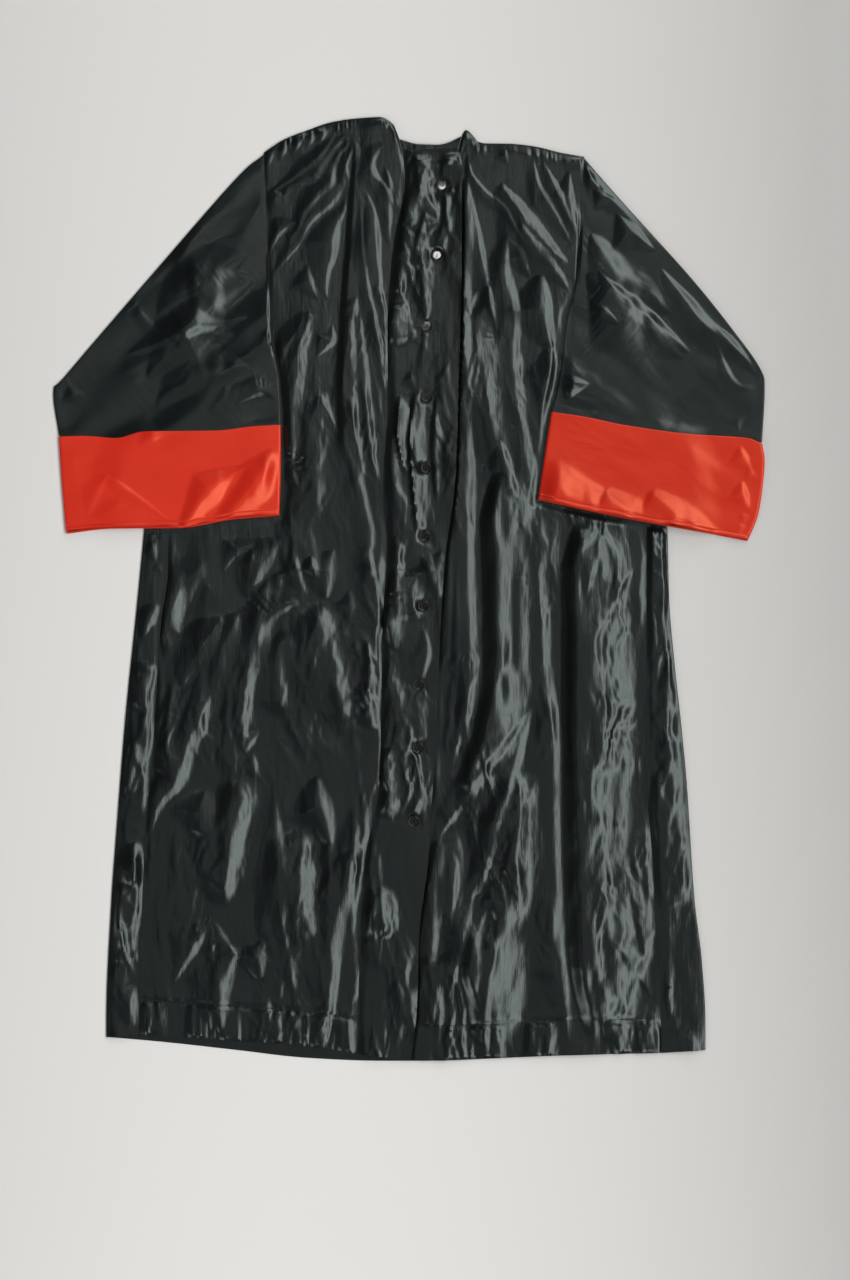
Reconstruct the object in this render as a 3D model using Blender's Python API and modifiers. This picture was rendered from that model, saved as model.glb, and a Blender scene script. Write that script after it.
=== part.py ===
"""Lawyer's robe of black satin with red cuffs, laid flat on its back with the front up.

The tables and formulas are in millimetres, and a mesh's points are turned into metres.
+X is the viewer's right, +Y runs from the hem to the neck, +Z is up and the floor is Z = 0.
Right and left in the names are the wearer's, so the right front lies on the viewer's left.
"""

import math
from collections import namedtuple

import bmesh
import bpy
import numpy as np

MM = 0.001

# Cloth: one wall thickness, and the clearance that separate pieces keep at a seam.
WALL = 1.0
SEAM_GAP = 0.3
EDGE_INSET = 0.7

# Heights of the middle of each cloth layer above the floor.
BACK_LEVEL = WALL / 2
FRONT_LEVEL = 3.1
BAND_LEVEL = 4.7
SHOULDER_DROP = 1.3
SLEEVE_LIFT = 4.2
SLEEVE_IN_CUFF_BACK = 1.9
SLEEVE_IN_CUFF_FRONT = 3.9
CUFF_FRONT_LEVEL = 5.3

# Distances over which a height changes.
SEAM_FADE = 9.0
SHOULDER_FADE = 14.0
BAND_MARGIN = 3.0
SLEEVE_MARGIN = 17.0
MOUTH_MARGIN = 36.0
COVER_FADE = 13.0
BAND_RISE = 12.0
BAND_UNDERLAP = 16.0
LIFT_FULL = 34.0
LIFT_NONE = 80.0
CUFF_STEP = 16.0

# The body's seams and edges, each a table of height up the robe and place across it.
Edge = namedtuple("Edge", "y x")
UNDERARM = 171.0
ARMHOLE_RIGHT = (Edge(603, -201), Edge(337, -190))
ARMPIT_RIGHT = (Edge(337, -190), Edge(305, -204), Edge(275, -225), Edge(226, -268), Edge(UNDERARM, -328))
SEAM_RIGHT = (
    Edge(UNDERARM, -328), Edge(81, -333), Edge(23, -333), Edge(-52, -343),
    Edge(-179, -351), Edge(-374, -366), Edge(-504, -371), Edge(-615, -373),
)
SIDE_RIGHT = (
    Edge(UNDERARM, -358), Edge(68, -368), Edge(-15, -376), Edge(-181, -393),
    Edge(-346, -406), Edge(-429, -412), Edge(-595, -419), Edge(-618, -419),
)
ARMHOLE_LEFT = (Edge(596, 241), Edge(420, 231))
ARMPIT_LEFT = (Edge(420, 231), Edge(371, 241), Edge(295, 266), Edge(226, 300), Edge(UNDERARM, 326))
SEAM_LEFT = (
    Edge(UNDERARM, 326), Edge(77, 327), Edge(-61, 327), Edge(-236, 326),
    Edge(-374, 335), Edge(-479, 340), Edge(-553, 347), Edge(-639, 347),
)
SIDE_LEFT = (
    Edge(UNDERARM, 351), Edge(68, 357), Edge(-15, 359), Edge(-98, 366),
    Edge(-181, 375), Edge(-264, 383), Edge(-429, 394), Edge(-512, 404),
    Edge(-595, 409), Edge(-636, 409),
)
BAND_SEAM = (
    Edge(606, -10), Edge(571, -6), Edge(468, -23), Edge(371, -30),
    Edge(264, -30), Edge(131, -37), Edge(63, -31), Edge(-50, -37),
    Edge(-264, -41), Edge(-374, -61), Edge(-482, -68), Edge(-643, -72),
)
BAND_FREE_EDGE = (
    Edge(606, 68), Edge(585, 72), Edge(468, 72), Edge(357, 70),
    Edge(261, 67), Edge(150, 63), Edge(40, 49), Edge(-70, 42),
    Edge(-181, 38), Edge(-291, 31), Edge(-374, 26), Edge(-471, 14),
    Edge(-581, 10), Edge(-650, 2),
)

# Top and bottom lines, each a table of place across the robe and height up it.
Line = namedtuple("Line", "x y")
NECK_Y = 606.0
SHOULDER_RIGHT = (
    Line(-201, 602), Line(-173, 620), Line(-140, 633), Line(-107, 644),
    Line(-74, 649), Line(-41, 651), Line(-24, 643), Line(-16, 627), Line(-10, NECK_Y),
)
BAND_TOP = (Line(-10, NECK_Y), Line(68, NECK_Y))
SHOULDER_LEFT = (
    Line(68, NECK_Y), Line(74, 629), Line(78, 633), Line(88, 625),
    Line(97, 615), Line(141, 614), Line(175, 610), Line(208, 602), Line(241, 596),
)
HEM_RIGHT_FRONT = (Line(-373, -615), Line(-289, -620), Line(-151, -630), Line(-72, -641))
BAND_HEM = (Line(-72, -641), Line(2, -650))
HEM_LEFT_FRONT = (
    Line(-56, -648), Line(42, -650), Line(125, -647), Line(191, -644),
    Line(257, -642), Line(347, -640),
)
HEM_BACK = (
    Line(-419, -618), Line(-339, -625), Line(-239, -636), Line(-140, -647),
    Line(-41, -651), Line(42, -651), Line(125, -644), Line(257, -639), Line(409, -636),
)
NECKBAND_TOP = (Line(-8, 617), Line(9, 614), Line(42, 613), Line(56, 616), Line(66, 622))

# The sleeves' long edges, from the shoulder and the underarm to the cuff, and the cuffs' sides.
SLEEVE_RIGHT_OUTER = ((-201, 600), (-242, 564), (-368, 420), (-475, 295), (-492, 273), (-484, 210))
SLEEVE_RIGHT_INNER = ((-190, 337), (-184, 310), (-179, 270), (-177, 226))
SLEEVE_LEFT_OUTER = ((242, 595), (290, 540), (390, 429), (456, 346), (486, 302), (491, 275), (487, 200))
SLEEVE_LEFT_INNER = ((231, 420), (216, 368), (206, 293), (195, 244))
CUFF_RIGHT_OUTER = ((-484, 210), (-480, 150), (-474, 76))
CUFF_RIGHT_INNER = ((-177, 226), (-177, 164), (-179, 101))
CUFF_LEFT_OUTER = ((487, 200), (490, 170), (482, 106), (467, 66))
CUFF_LEFT_INNER = ((195, 244), (186, 184), (177, 123))
CUFF_RIGHT_TOP = (
    Line(-484, 210), Line(-448, 211), Line(-405, 208), Line(-365, 217),
    Line(-268, 218), Line(-215, 224), Line(-177, 226),
)
CUFF_RIGHT_MOUTH = (Line(-474, 76), Line(-412, 83), Line(-317, 84), Line(-242, 96), Line(-179, 101))
CUFF_LEFT_TOP = (
    Line(195, 244), Line(242, 237), Line(295, 226), Line(382, 214), Line(466, 208), Line(487, 200),
)
CUFF_LEFT_MOUTH = (Line(177, 123), Line(208, 116), Line(314, 94), Line(420, 75), Line(467, 66))
MOUTH_RECESS = 3.0

# Folds: the path of each lit slope, the slope's width and rise, and how far its top falls back.
# A slope looks to the viewer's right of a path that runs down the robe.
Fold = namedtuple("Fold", "path width rise tail")
FOLDS_RIGHT_FRONT = (
    Fold(((-86, 636), (-103, 602), (-151, 571), (-193, 540)), 11, 3, 14),
    Fold(((-79, 620), (-95, 581), (-135, 530), (-190, 458)), 12, 3.5, 17),
    Fold(((-74, 606), (-90, 551), (-137, 495), (-191, 425)), 12, 3.5, 17),
    Fold(((-86, 530), (-101, 475), (-114, 402)), 11, 3, 19),
    Fold(((-77, 613), (-82, 508), (-92, 344), (-92, 219), (-79, 68)), 14, 5, 30),
    Fold(((-66, 551), (-61, 475), (-46, 371), (-32, 261)), 11, 3, 17),
    Fold(((-49, 544), (-41, 468), (-31, 364)), 11, 2.5, 11),
    Fold(((-75, 399), (-75, 275), (-60, 123), (-52, 47), (-37, -43)), 11, 3.5, 17),
    Fold(((-68, 385), (-55, 275), (-46, 178), (-37, 130)), 11, 3, 11),
    Fold(((-129, 399), (-154, 302), (-158, 192), (-177, 68), (-223, -7)), 17, 5, 36),
    Fold(((-159, 399), (-165, 351), (-184, 282)), 14, 3, 17),
    Fold(((-121, 219), (-121, 164), (-129, 102)), 17, 3, 22),
    Fold(((-121, 40), (-112, -36), (-90, -139), (-89, -208)), 19, 5, 30),
    Fold(((-151, -18), (-190, -46), (-213, -112), (-230, -229)), 14, 4, 28),
    Fold(((-259, -43), (-278, -91), (-319, -146)), 14, 3, 19),
    Fold(((-233, -36), (-255, -105), (-296, -215), (-358, -344)), 17, 5, 33),
    Fold(((-273, 40), (-317, -22), (-343, -132)), 17, 4, 25),
    Fold(((-213, -264), (-228, -319), (-252, -446)), 22, 5, 33),
    Fold(((-186, -264), (-176, -360), (-155, -567)), 12, 3, 19),
    Fold(((-151, -326), (-141, -402), (-135, -505)), 22, 5, 28),
    Fold(((-126, -257), (-110, -312), (-107, -353)), 19, 3, 22),
    Fold(((-271, -453), (-303, -498), (-326, -546)), 14, 3, 19),
    Fold(((-234, -491), (-250, -546), (-259, -622)), 19, 3, 22),
    Fold(((-72, -360), (-85, -429), (-117, -629)), 17, 5, 28),
    Fold(((-204, -484), (-208, -609)), 17, 3, 19),
)
FOLDS_LEFT_FRONT = (
    Fold(((132, 606), (133, 571), (173, 506), (224, 448)), 14, 5, 19),
    Fold(((172, 599), (181, 551), (231, 472)), 11, 3.5, 14),
    Fold(((188, 585), (208, 541), (234, 487)), 11, 3, 11),
    Fold(((125, 540), (154, 498), (221, 407)), 12, 3.5, 14),
    Fold(((79, 599), (95, 558), (159, 475)), 11, 3, 14),
    Fold(((137, 482), (139, 420), (151, 302), (177, 95)), 12, 4, 19),
    Fold(((146, 477), (169, 426), (198, 357), (184, 219)), 22, 4.5, 25),
    Fold(((71, 567), (78, 482), (72, 385), (77, 233)), 12, 3.5, 6),
    Fold(((77, 233), (90, 164), (90, -15), (83, -188)), 12, 4, 17),
    Fold(((83, 530), (99, 475), (119, 360)), 12, 3, 11),
    Fold(((111, 351), (111, 261), (146, 123)), 30, 6, 17),
    Fold(((136, 150), (141, 12), (140, -98), (140, -222)), 41, 9, 22),
    Fold(((170, -161), (125, -229), (63, -312), (24, -443)), 12, 3, 19),
    Fold(((168, -188), (139, -291), (86, -457), (67, -567)), 14, 4, 22),
    Fold(((181, 40), (197, -153), (205, -374), (221, -636)), 12, 5, 19),
    Fold(((266, 81), (267, -98), (268, -319), (279, -622)), 58, 10, 25),
    Fold(((166, -264), (155, -388), (129, -484)), 30, 5, 22),
    Fold(((139, -498), (141, -636)), 47, 5, 25),
)
FOLDS_BAND = (
    Fold(((3, 247), (8, 164), (21, 81)), 36, 4, 14),
    Fold(((-26, -8), (-19, -91)), 19, 3, 11),
    Fold(((-24, -208), (-20, -322)), 19, 3, 11),
    Fold(((-32, -402), (-23, -491)), 25, 3, 11),
    Fold(((1, 571), (2, 523), (12, 482)), 17, 3, 8),
)
FOLDS_RIGHT_SLEEVE = (
    Fold(((-239, 433), (-289, 368), (-386, 322)), 25, 5, 36),
    Fold(((-204, 388), (-224, 353), (-262, 337)), 22, 4, 25),
    Fold(((-184, 258), (-213, 265), (-241, 254)), 14, 2.5, 17),
    Fold(((-255, 537), (-331, 451), (-413, 351)), 20, 2.5, 28),
)
FOLDS_LEFT_SLEEVE = (
    Fold(((260, 443), (318, 399), (387, 333)), 16, 4, 19),
    Fold(((266, 482), (304, 440), (404, 351)), 24, 5, 25),
    Fold(((238, 420), (263, 392), (290, 368)), 19, 3, 17),
    Fold(((417, 357), (440, 309), (463, 282)), 16, 3, 17),
)
FOLDS_RIGHT_CUFF = (Fold(((-448, 164), (-386, 137), (-324, 90)), 19, 2.5, 33),)
FOLDS_LEFT_CUFF = (Fold(((198, 164), (290, 134), (408, 95)), 30, 3.5, 33),)
FOLD_TAPER = 0.18
POINTS_PER_STRETCH = 8

# Everything that differs between the two arms, with the way that the body lies from the sleeve.
Arm = namedtuple(
    "Arm", "to_body armpit side outer inner cuff_outer cuff_inner cuff_top cuff_mouth folds cuff_folds"
)
ARMS = {
    "right": Arm(
        1, ARMPIT_RIGHT, SIDE_RIGHT, SLEEVE_RIGHT_OUTER, SLEEVE_RIGHT_INNER, CUFF_RIGHT_OUTER,
        CUFF_RIGHT_INNER, CUFF_RIGHT_TOP, CUFF_RIGHT_MOUTH, FOLDS_RIGHT_SLEEVE, FOLDS_RIGHT_CUFF,
    ),
    "left": Arm(
        -1, ARMPIT_LEFT, SIDE_LEFT, SLEEVE_LEFT_OUTER, SLEEVE_LEFT_INNER, CUFF_LEFT_OUTER,
        CUFF_LEFT_INNER, CUFF_LEFT_TOP, CUFF_LEFT_MOUTH, FOLDS_LEFT_SLEEVE, FOLDS_LEFT_CUFF,
    ),
}

# Neckband: a narrow binding drawn up in small gathers, with a plain back of wider cells.
NECKBAND_GATHERS = 9
NECKBAND_WAVE = 0.7
NECKBAND_BACK_STEP = 3

# Buttons: a turned disc with a raised rim and two sewing holes, one row for each button.
Button = namedtuple("Button", "x y")
BUTTONS = (
    Button(45, 556), Button(38, 460), Button(24, 363), Button(24, 265), Button(23, 167),
    Button(21, 73), Button(19, -23), Button(13, -132), Button(12, -219), Button(6, -320),
)
Turn = namedtuple("Turn", "radius height")
BUTTON_PROFILE = (Turn(0, 2.1), Turn(5.0, 2.1), Turn(6.2, 3.0), Turn(7.5, 2.2), Turn(7.0, 0.0), Turn(0, 0.0))
BUTTON_STEPS = 12
BUTTON_HOLE_RADIUS = 0.9
BUTTON_HOLE_SPACING = 3.2
BUTTON_HOLE_SIDES = 6
BUTTON_CUTTER_DEPTH = 20.0
BUTTON_CLEAR_ACROSS = 16.0
BUTTON_CLEAR_ALONG = 42.0
BUTTON_LEVEL = BAND_LEVEL + WALL / 2 + SEAM_GAP

# Mesh density. Every body panel has the same rows, so that its seam points face its neighbour's.
ROWS_ABOVE = 12
ROWS_BELOW = 16
ARMHOLE_ROWS_RIGHT = 7
ARMHOLE_ROWS_LEFT = 5
RIGHT_FRONT_COLUMNS = 22
LEFT_FRONT_COLUMNS = 24
LEFT_FRONT_HIDDEN_COLUMNS = 3
BAND_COLUMNS = 5
BACK_TOP_COLUMNS = (-201, -165, -120, -75, -40, -17, -10, 68, 76, 97, 140, 190, 241)
STRIP_COLUMNS = 2
SLEEVE_COLUMNS = 12
SLEEVE_ROWS = 9
CUFF_ROWS = 3
NECKBAND_COLUMNS = 27
PATH_SAMPLES = 121
WELD_DISTANCE = 0.001
BUTTON_WELD_DISTANCE = 0.01

# Finishes: colour, roughness and metallic value.
Finish = namedtuple("Finish", "color roughness metallic")
FINISHES = {
    "black_satin": Finish((0.016, 0.018, 0.020, 1), 0.38, 0.0),
    "red_satin": Finish((0.58, 0.030, 0.018, 1), 0.38, 0.0),
    "black_button": Finish((0.010, 0.010, 0.011, 1), 0.12, 0.0),
}


def ease(value):
    """A soft step from 0 at 0 to 1 at 1."""
    value = np.clip(value, 0.0, 1.0)
    return value * value * (3.0 - 2.0 * value)


def read_table(rows, at):
    """Reads a table of (place, value) rows at any place, on a smooth line with no overshoot."""
    place, value = np.array(sorted(rows), float).T
    step = np.diff(place)
    slope = np.diff(value) / step
    turn = np.zeros(len(place))
    turn[0], turn[-1] = slope[0], slope[-1]
    before, after = slope[:-1], slope[1:]
    rising = before * after > 0
    turn[1:-1][rising] = (2 * before * after)[rising] / (before + after)[rising]
    at = np.clip(at, place[0], place[-1])
    row = np.clip(np.searchsorted(place, at, side="right") - 1, 0, len(step) - 1)
    t = (at - place[row]) / step[row]
    start = (1 + 2 * t) * (1 - t) ** 2 * value[row] + t * (1 - t) ** 2 * step[row] * turn[row]
    end = t ** 2 * (3 - 2 * t) * value[row + 1] + t ** 2 * (t - 1) * step[row] * turn[row + 1]
    return start + end


def read_straight(rows, at):
    """Reads a table of (place, value) rows at any place, on straight stretches."""
    place, value = np.array(sorted(rows), float).T
    return np.interp(at, place, value)


def smooth_path(points, share):
    """Points at the given shares of a smooth line through some points."""
    points = np.array(points, float)
    padded = np.vstack([2 * points[0] - points[1], points, 2 * points[-1] - points[-2]])
    spans = len(points) - 1
    place = np.asarray(share, float) * spans
    span = np.clip(np.floor(place).astype(int), 0, spans - 1)
    t = (place - span)[..., None]
    a, b, c, d = (padded[span + k] for k in range(4))
    line = 2 * b + (c - a) * t + (2 * a - 5 * b + 4 * c - d) * t ** 2 + (3 * b - a - 3 * c + d) * t ** 3
    return line / 2


def even_path(points, share):
    """The same line, with the shares measured along its length."""
    fine = smooth_path(points, np.linspace(0, 1, PATH_SAMPLES))
    run = np.concatenate([[0.0], np.cumsum(np.hypot(*np.diff(fine, axis=0).T))])
    at = np.asarray(share, float) * run[-1]
    return np.stack([np.interp(at, run, fine[:, 0]), np.interp(at, run, fine[:, 1])], axis=-1)


def fold_height(fold, x, y):
    """Height that one fold adds at each place: a lit slope, then a gentle fall behind it."""
    line = smooth_path(fold.path, np.linspace(0, 1, POINTS_PER_STRETCH * len(fold.path)))
    start, step = line[:-1], np.diff(line, axis=0)
    size = np.hypot(*step.T)
    run = np.concatenate([[0.0], np.cumsum(size)])
    dx = x[..., None] - start[:, 0]
    dy = y[..., None] - start[:, 1]
    along = np.clip((dx * step[:, 0] + dy * step[:, 1]) / size ** 2, 0, 1)
    off_x = dx - along * step[:, 0]
    off_y = dy - along * step[:, 1]
    near = np.argmin(off_x ** 2 + off_y ** 2, axis=-1)[..., None]
    off_x, off_y, along = (np.take_along_axis(part, near, -1)[..., 0] for part in (off_x, off_y, along))
    near = near[..., 0]
    across = (-off_x * step[near, 1] + off_y * step[near, 0]) / size[near]
    past = np.sqrt(np.maximum(off_x ** 2 + off_y ** 2 - across ** 2, 0))
    share = (run[near] + along * size[near]) / run[-1]
    taper = ease(share / FOLD_TAPER) * ease((1 - share) / FOLD_TAPER)
    front = ease(0.5 - across / fold.width)
    back = ease(1 + (across + fold.width / 2) / fold.tail)
    return fold.rise * taper * front * back * np.exp(-(past / fold.width) ** 2)


def relief(folds, x, y):
    """Height of all of a piece's folds at each place."""
    total = np.zeros(np.shape(x))
    for fold in folds:
        total += fold_height(fold, x, y)
    return total


def covered(arm, x, y):
    """1 where a sleeve and its cuff lie on the body, 0 well clear of them."""
    inner = read_table([(py, px) for px, py in arm.inner + arm.cuff_inner[1:]], y)
    across = ease(1 - ((x - inner) * arm.to_body - SLEEVE_MARGIN) / COVER_FADE)
    below = ease(1 - (read_table(arm.cuff_mouth, x) - MOUTH_MARGIN - y) / COVER_FADE)
    above = ease(1 - (y - arm.inner[0][1] - MOUTH_MARGIN) / COVER_FADE)
    return across * below * above


def distance_to(path, x, y):
    """Distance from each place to a path of straight stretches."""
    path = np.array(path, float)
    start, step = path[:-1], np.diff(path, axis=0)
    dx = x[..., None] - start[:, 0]
    dy = y[..., None] - start[:, 1]
    along = np.clip((dx * step[:, 0] + dy * step[:, 1]) / (step ** 2).sum(axis=1), 0, 1)
    return np.sqrt((dx - along * step[:, 0]) ** 2 + (dy - along * step[:, 1]) ** 2).min(axis=-1)


def body_lift(arm, x, y):
    """How far a sleeve is lifted where it lies over the body's underarm corner."""
    corner = [(row.x, row.y) for row in arm.armpit + arm.side[:3]]
    edge = read_table(arm.armpit + arm.side[1:], y)
    inside = ((x - edge) * arm.to_body > 0) & (y < arm.armpit[0].y)
    away = np.where(inside, 0.0, distance_to(corner, x, y))
    return SLEEVE_LIFT * (1 - ease((away - LIFT_FULL) / (LIFT_NONE - LIFT_FULL)))


def body_edge(armhole, armpit, rows, y):
    """Place across of a body panel's side: armhole, armpit, then its seam or side fold."""
    upper = read_straight(armhole, y)
    middle = read_table(armpit, y)
    lower = read_table(rows, y)
    return np.where(y > armpit[0].y, upper, np.where(y > UNDERARM, middle, lower))


def back_edge_right(y):
    return body_edge(ARMHOLE_RIGHT, ARMPIT_RIGHT, SIDE_RIGHT, y)


def back_edge_left(y):
    return body_edge(ARMHOLE_LEFT, ARMPIT_LEFT, SIDE_LEFT, y)


def front_edge_right(y):
    return body_edge(ARMHOLE_RIGHT, ARMPIT_RIGHT, SEAM_RIGHT, y)


def front_edge_left(y):
    return body_edge(ARMHOLE_LEFT, ARMPIT_LEFT, SEAM_LEFT, y)


def right_side_rows(top, bottom):
    """Heights of the rows down the right side, with one at the armpit and one at the underarm."""
    at = [0, ARMHOLE_ROWS_RIGHT, ROWS_ABOVE, ROWS_ABOVE + ROWS_BELOW]
    return np.interp(np.arange(at[-1] + 1), at, [top, ARMPIT_RIGHT[0].y, UNDERARM, bottom])


def left_side_rows(top, bottom):
    """Heights of the rows down the left side, with one at the armpit and one at the underarm."""
    at = [0, ARMHOLE_ROWS_LEFT, ROWS_ABOVE, ROWS_ABOVE + ROWS_BELOW]
    return np.interp(np.arange(at[-1] + 1), at, [top, ARMPIT_LEFT[0].y, UNDERARM, bottom])


def middle_rows(top, bottom):
    """Heights of the rows down the front's middle."""
    at = [0, ROWS_ABOVE, ROWS_ABOVE + ROWS_BELOW]
    return np.interp(np.arange(at[-1] + 1), at, [top, UNDERARM, bottom])


def patch(u, v, left, right, top, bottom):
    """Places inside four edges: left and right run down the rows, top and bottom across them."""
    u, v = u[..., None], v[..., None]
    sides = (1 - u) * left + u * right
    ends = (1 - v) * top + v * bottom
    upper = (1 - u) * left[0] + u * right[0]
    lower = (1 - u) * left[-1] + u * right[-1]
    place = sides + ends - (1 - v) * upper - v * lower
    return place[..., 0], place[..., 1]


def body_patch(left_edge, left_rows, right_edge, right_rows, top_x, top_rows, hem_x, hem_rows):
    """The grid of places of a body panel, with a column for each place in its top line."""
    top = np.stack([top_x, read_table(top_rows, top_x)], axis=-1)
    hem = np.stack([hem_x, read_table(hem_rows, hem_x)], axis=-1)
    left_y = left_rows(top[0, 1], hem[0, 1])
    right_y = right_rows(top[-1, 1], hem[-1, 1])
    left = np.stack([left_edge(left_y), left_y], axis=-1)
    right = np.stack([right_edge(right_y), right_y], axis=-1)
    left[0], left[-1], right[0], right[-1] = top[0], hem[0], top[-1], hem[-1]
    share = np.arange(len(left_y)) / (len(left_y) - 1)
    u, v = np.meshgrid((top_x - top_x[0]) / (top_x[-1] - top_x[0]), share)
    return patch(u, v, left[:, None], right[:, None], top[None], hem[None])


def make_finish(slot):
    finish = FINISHES[slot]
    material = bpy.data.materials.new(slot)
    material.use_nodes = True
    shader = material.node_tree.nodes["Principled BSDF"]
    shader.inputs["Base Color"].default_value = finish.color
    shader.inputs["Roughness"].default_value = finish.roughness
    shader.inputs["Metallic"].default_value = finish.metallic
    material.diffuse_color = finish.color
    return material


def make_sheet(name, x, y, z, material, collection, tube=False, absent=None):
    """A cloth piece: a grid moved to its places in rows of x, y and z, then given its wall."""
    rows, columns = x.shape[0] - 1, x.shape[1] - 1
    work = bmesh.new()
    bmesh.ops.create_grid(work, x_segments=columns, y_segments=rows, size=1.0)
    reach = max(vert.co.x for vert in work.verts)
    outside = []
    for vert in work.verts:
        column = round((vert.co.x / reach + 1) / 2 * columns)
        row = round((1 - vert.co.y / reach) / 2 * rows)
        vert.co = (x[row, column] * MM, y[row, column] * MM, z[row, column] * MM)
        if absent is not None and absent[row, column]:
            outside.append(vert)
    if outside:
        bmesh.ops.delete(work, geom=outside, context="VERTS")
    if tube:
        bmesh.ops.remove_doubles(work, verts=work.verts, dist=WELD_DISTANCE * MM)
    mesh = bpy.data.meshes.new(name)
    work.to_mesh(mesh)
    work.free()
    mesh.materials.append(material)
    mesh.shade_smooth()
    piece = bpy.data.objects.new(name, mesh)
    collection.objects.link(piece)
    wall = piece.modifiers.new("Wall", "SOLIDIFY")
    wall.thickness = WALL * MM
    wall.offset = 0.0
    wall.use_even_offset = not tube
    return piece


def seam_fade(*distances):
    """0 on a seam and 1 a little way off it, for the nearest of some seams."""
    fade = 1.0
    for distance in distances:
        fade = fade * ease(distance / SEAM_FADE)
    return fade


def shoulder_drop(distance):
    """How far the front comes down onto the back at the shoulder."""
    return SHOULDER_DROP * (1 - ease(distance / SHOULDER_FADE))


def make_right_front(material, collection):
    half_gap = SEAM_GAP / 2
    share = np.linspace(0, 1, RIGHT_FRONT_COLUMNS + 1)
    top_x = np.interp(share, [0, 1], [SHOULDER_RIGHT[0].x + half_gap, SHOULDER_RIGHT[-1].x - half_gap])
    hem_x = np.interp(share, [0, 1], [HEM_RIGHT_FRONT[0].x + half_gap, HEM_RIGHT_FRONT[-1].x - half_gap])
    x, y = body_patch(
        lambda at: front_edge_right(at) + half_gap, right_side_rows,
        lambda at: read_table(BAND_SEAM, at) - half_gap, middle_rows,
        top_x, SHOULDER_RIGHT, hem_x, HEM_RIGHT_FRONT,
    )
    below_top = read_table(SHOULDER_RIGHT, x) - y
    fade = seam_fade(x - front_edge_right(y), read_table(BAND_SEAM, y) - x, below_top)
    folds = relief(FOLDS_RIGHT_FRONT, x, y) * fade * (1 - covered(ARMS["right"], x, y))
    z = FRONT_LEVEL + folds - shoulder_drop(below_top)
    return make_sheet("front_right", x, y, z, material, collection)


def make_left_front(material, collection):
    share = np.linspace(0, 1, LEFT_FRONT_COLUMNS + 1)
    hidden = LEFT_FRONT_HIDDEN_COLUMNS / LEFT_FRONT_COLUMNS
    half_gap = SEAM_GAP / 2
    top_line = (BAND_TOP[0],) + SHOULDER_LEFT
    top_ends = BAND_TOP[0].x + BAND_UNDERLAP, BAND_TOP[-1].x, SHOULDER_LEFT[-1].x - half_gap
    hem_ends = BAND_HEM[0].x + BAND_UNDERLAP, BAND_HEM[-1].x, HEM_LEFT_FRONT[-1].x - half_gap
    top_x = np.interp(share, [0, hidden, 1], top_ends)
    hem_x = np.interp(share, [0, hidden, 1], hem_ends)
    x, y = body_patch(
        lambda at: read_table(BAND_SEAM, at) + BAND_UNDERLAP, middle_rows,
        lambda at: front_edge_left(at) - half_gap, left_side_rows,
        top_x, top_line, hem_x, HEM_LEFT_FRONT,
    )
    below_top = read_table(top_line, x) - y
    fade = seam_fade(front_edge_left(y) - x, below_top)
    clear_of_band = ease((x - read_table(BAND_FREE_EDGE, y) - BAND_MARGIN) / COVER_FADE)
    folds = relief(FOLDS_LEFT_FRONT, x, y) * fade * clear_of_band * (1 - covered(ARMS["left"], x, y))
    z = FRONT_LEVEL + folds - shoulder_drop(below_top)
    return make_sheet("front_left", x, y, z, material, collection)


def make_band(material, collection):
    """The buttonhole band, sewn to the right front and lying on the left one."""
    half_gap = SEAM_GAP / 2
    x, y = body_patch(
        lambda at: read_table(BAND_SEAM, at) + half_gap, middle_rows,
        lambda at: read_table(BAND_FREE_EDGE, at), middle_rows,
        np.linspace(BAND_TOP[0].x + half_gap, BAND_TOP[-1].x, BAND_COLUMNS + 1), BAND_TOP,
        np.linspace(BAND_HEM[0].x + half_gap, BAND_HEM[-1].x, BAND_COLUMNS + 1), BAND_HEM,
    )
    from_seam = x - read_table(BAND_SEAM, y)
    folds = relief(FOLDS_BAND, x, y) * seam_fade(from_seam, NECK_Y - y)
    for button in BUTTONS:
        across = ease(np.abs(x - button.x) / BUTTON_CLEAR_ACROSS - 1)
        along = ease(np.abs(y - button.y) / BUTTON_CLEAR_ALONG - 1)
        folds = folds * np.maximum(across, along)
    z = FRONT_LEVEL + (BAND_LEVEL - FRONT_LEVEL) * ease(from_seam / BAND_RISE) + folds
    return make_sheet("front_band", x, y, z, material, collection)


def strip_columns(near_x, near_y, far_x, far_y, absent):
    """Columns of the back's strip on the front, from the side seam out to the side fold."""
    columns = []
    for share in np.linspace(0, 1, STRIP_COLUMNS + 1):
        column_x = near_x + share * (far_x - near_x)
        column_y = near_y + share * (far_y - near_y)
        columns.append((column_x, column_y, FRONT_LEVEL, absent))
    return columns


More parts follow.
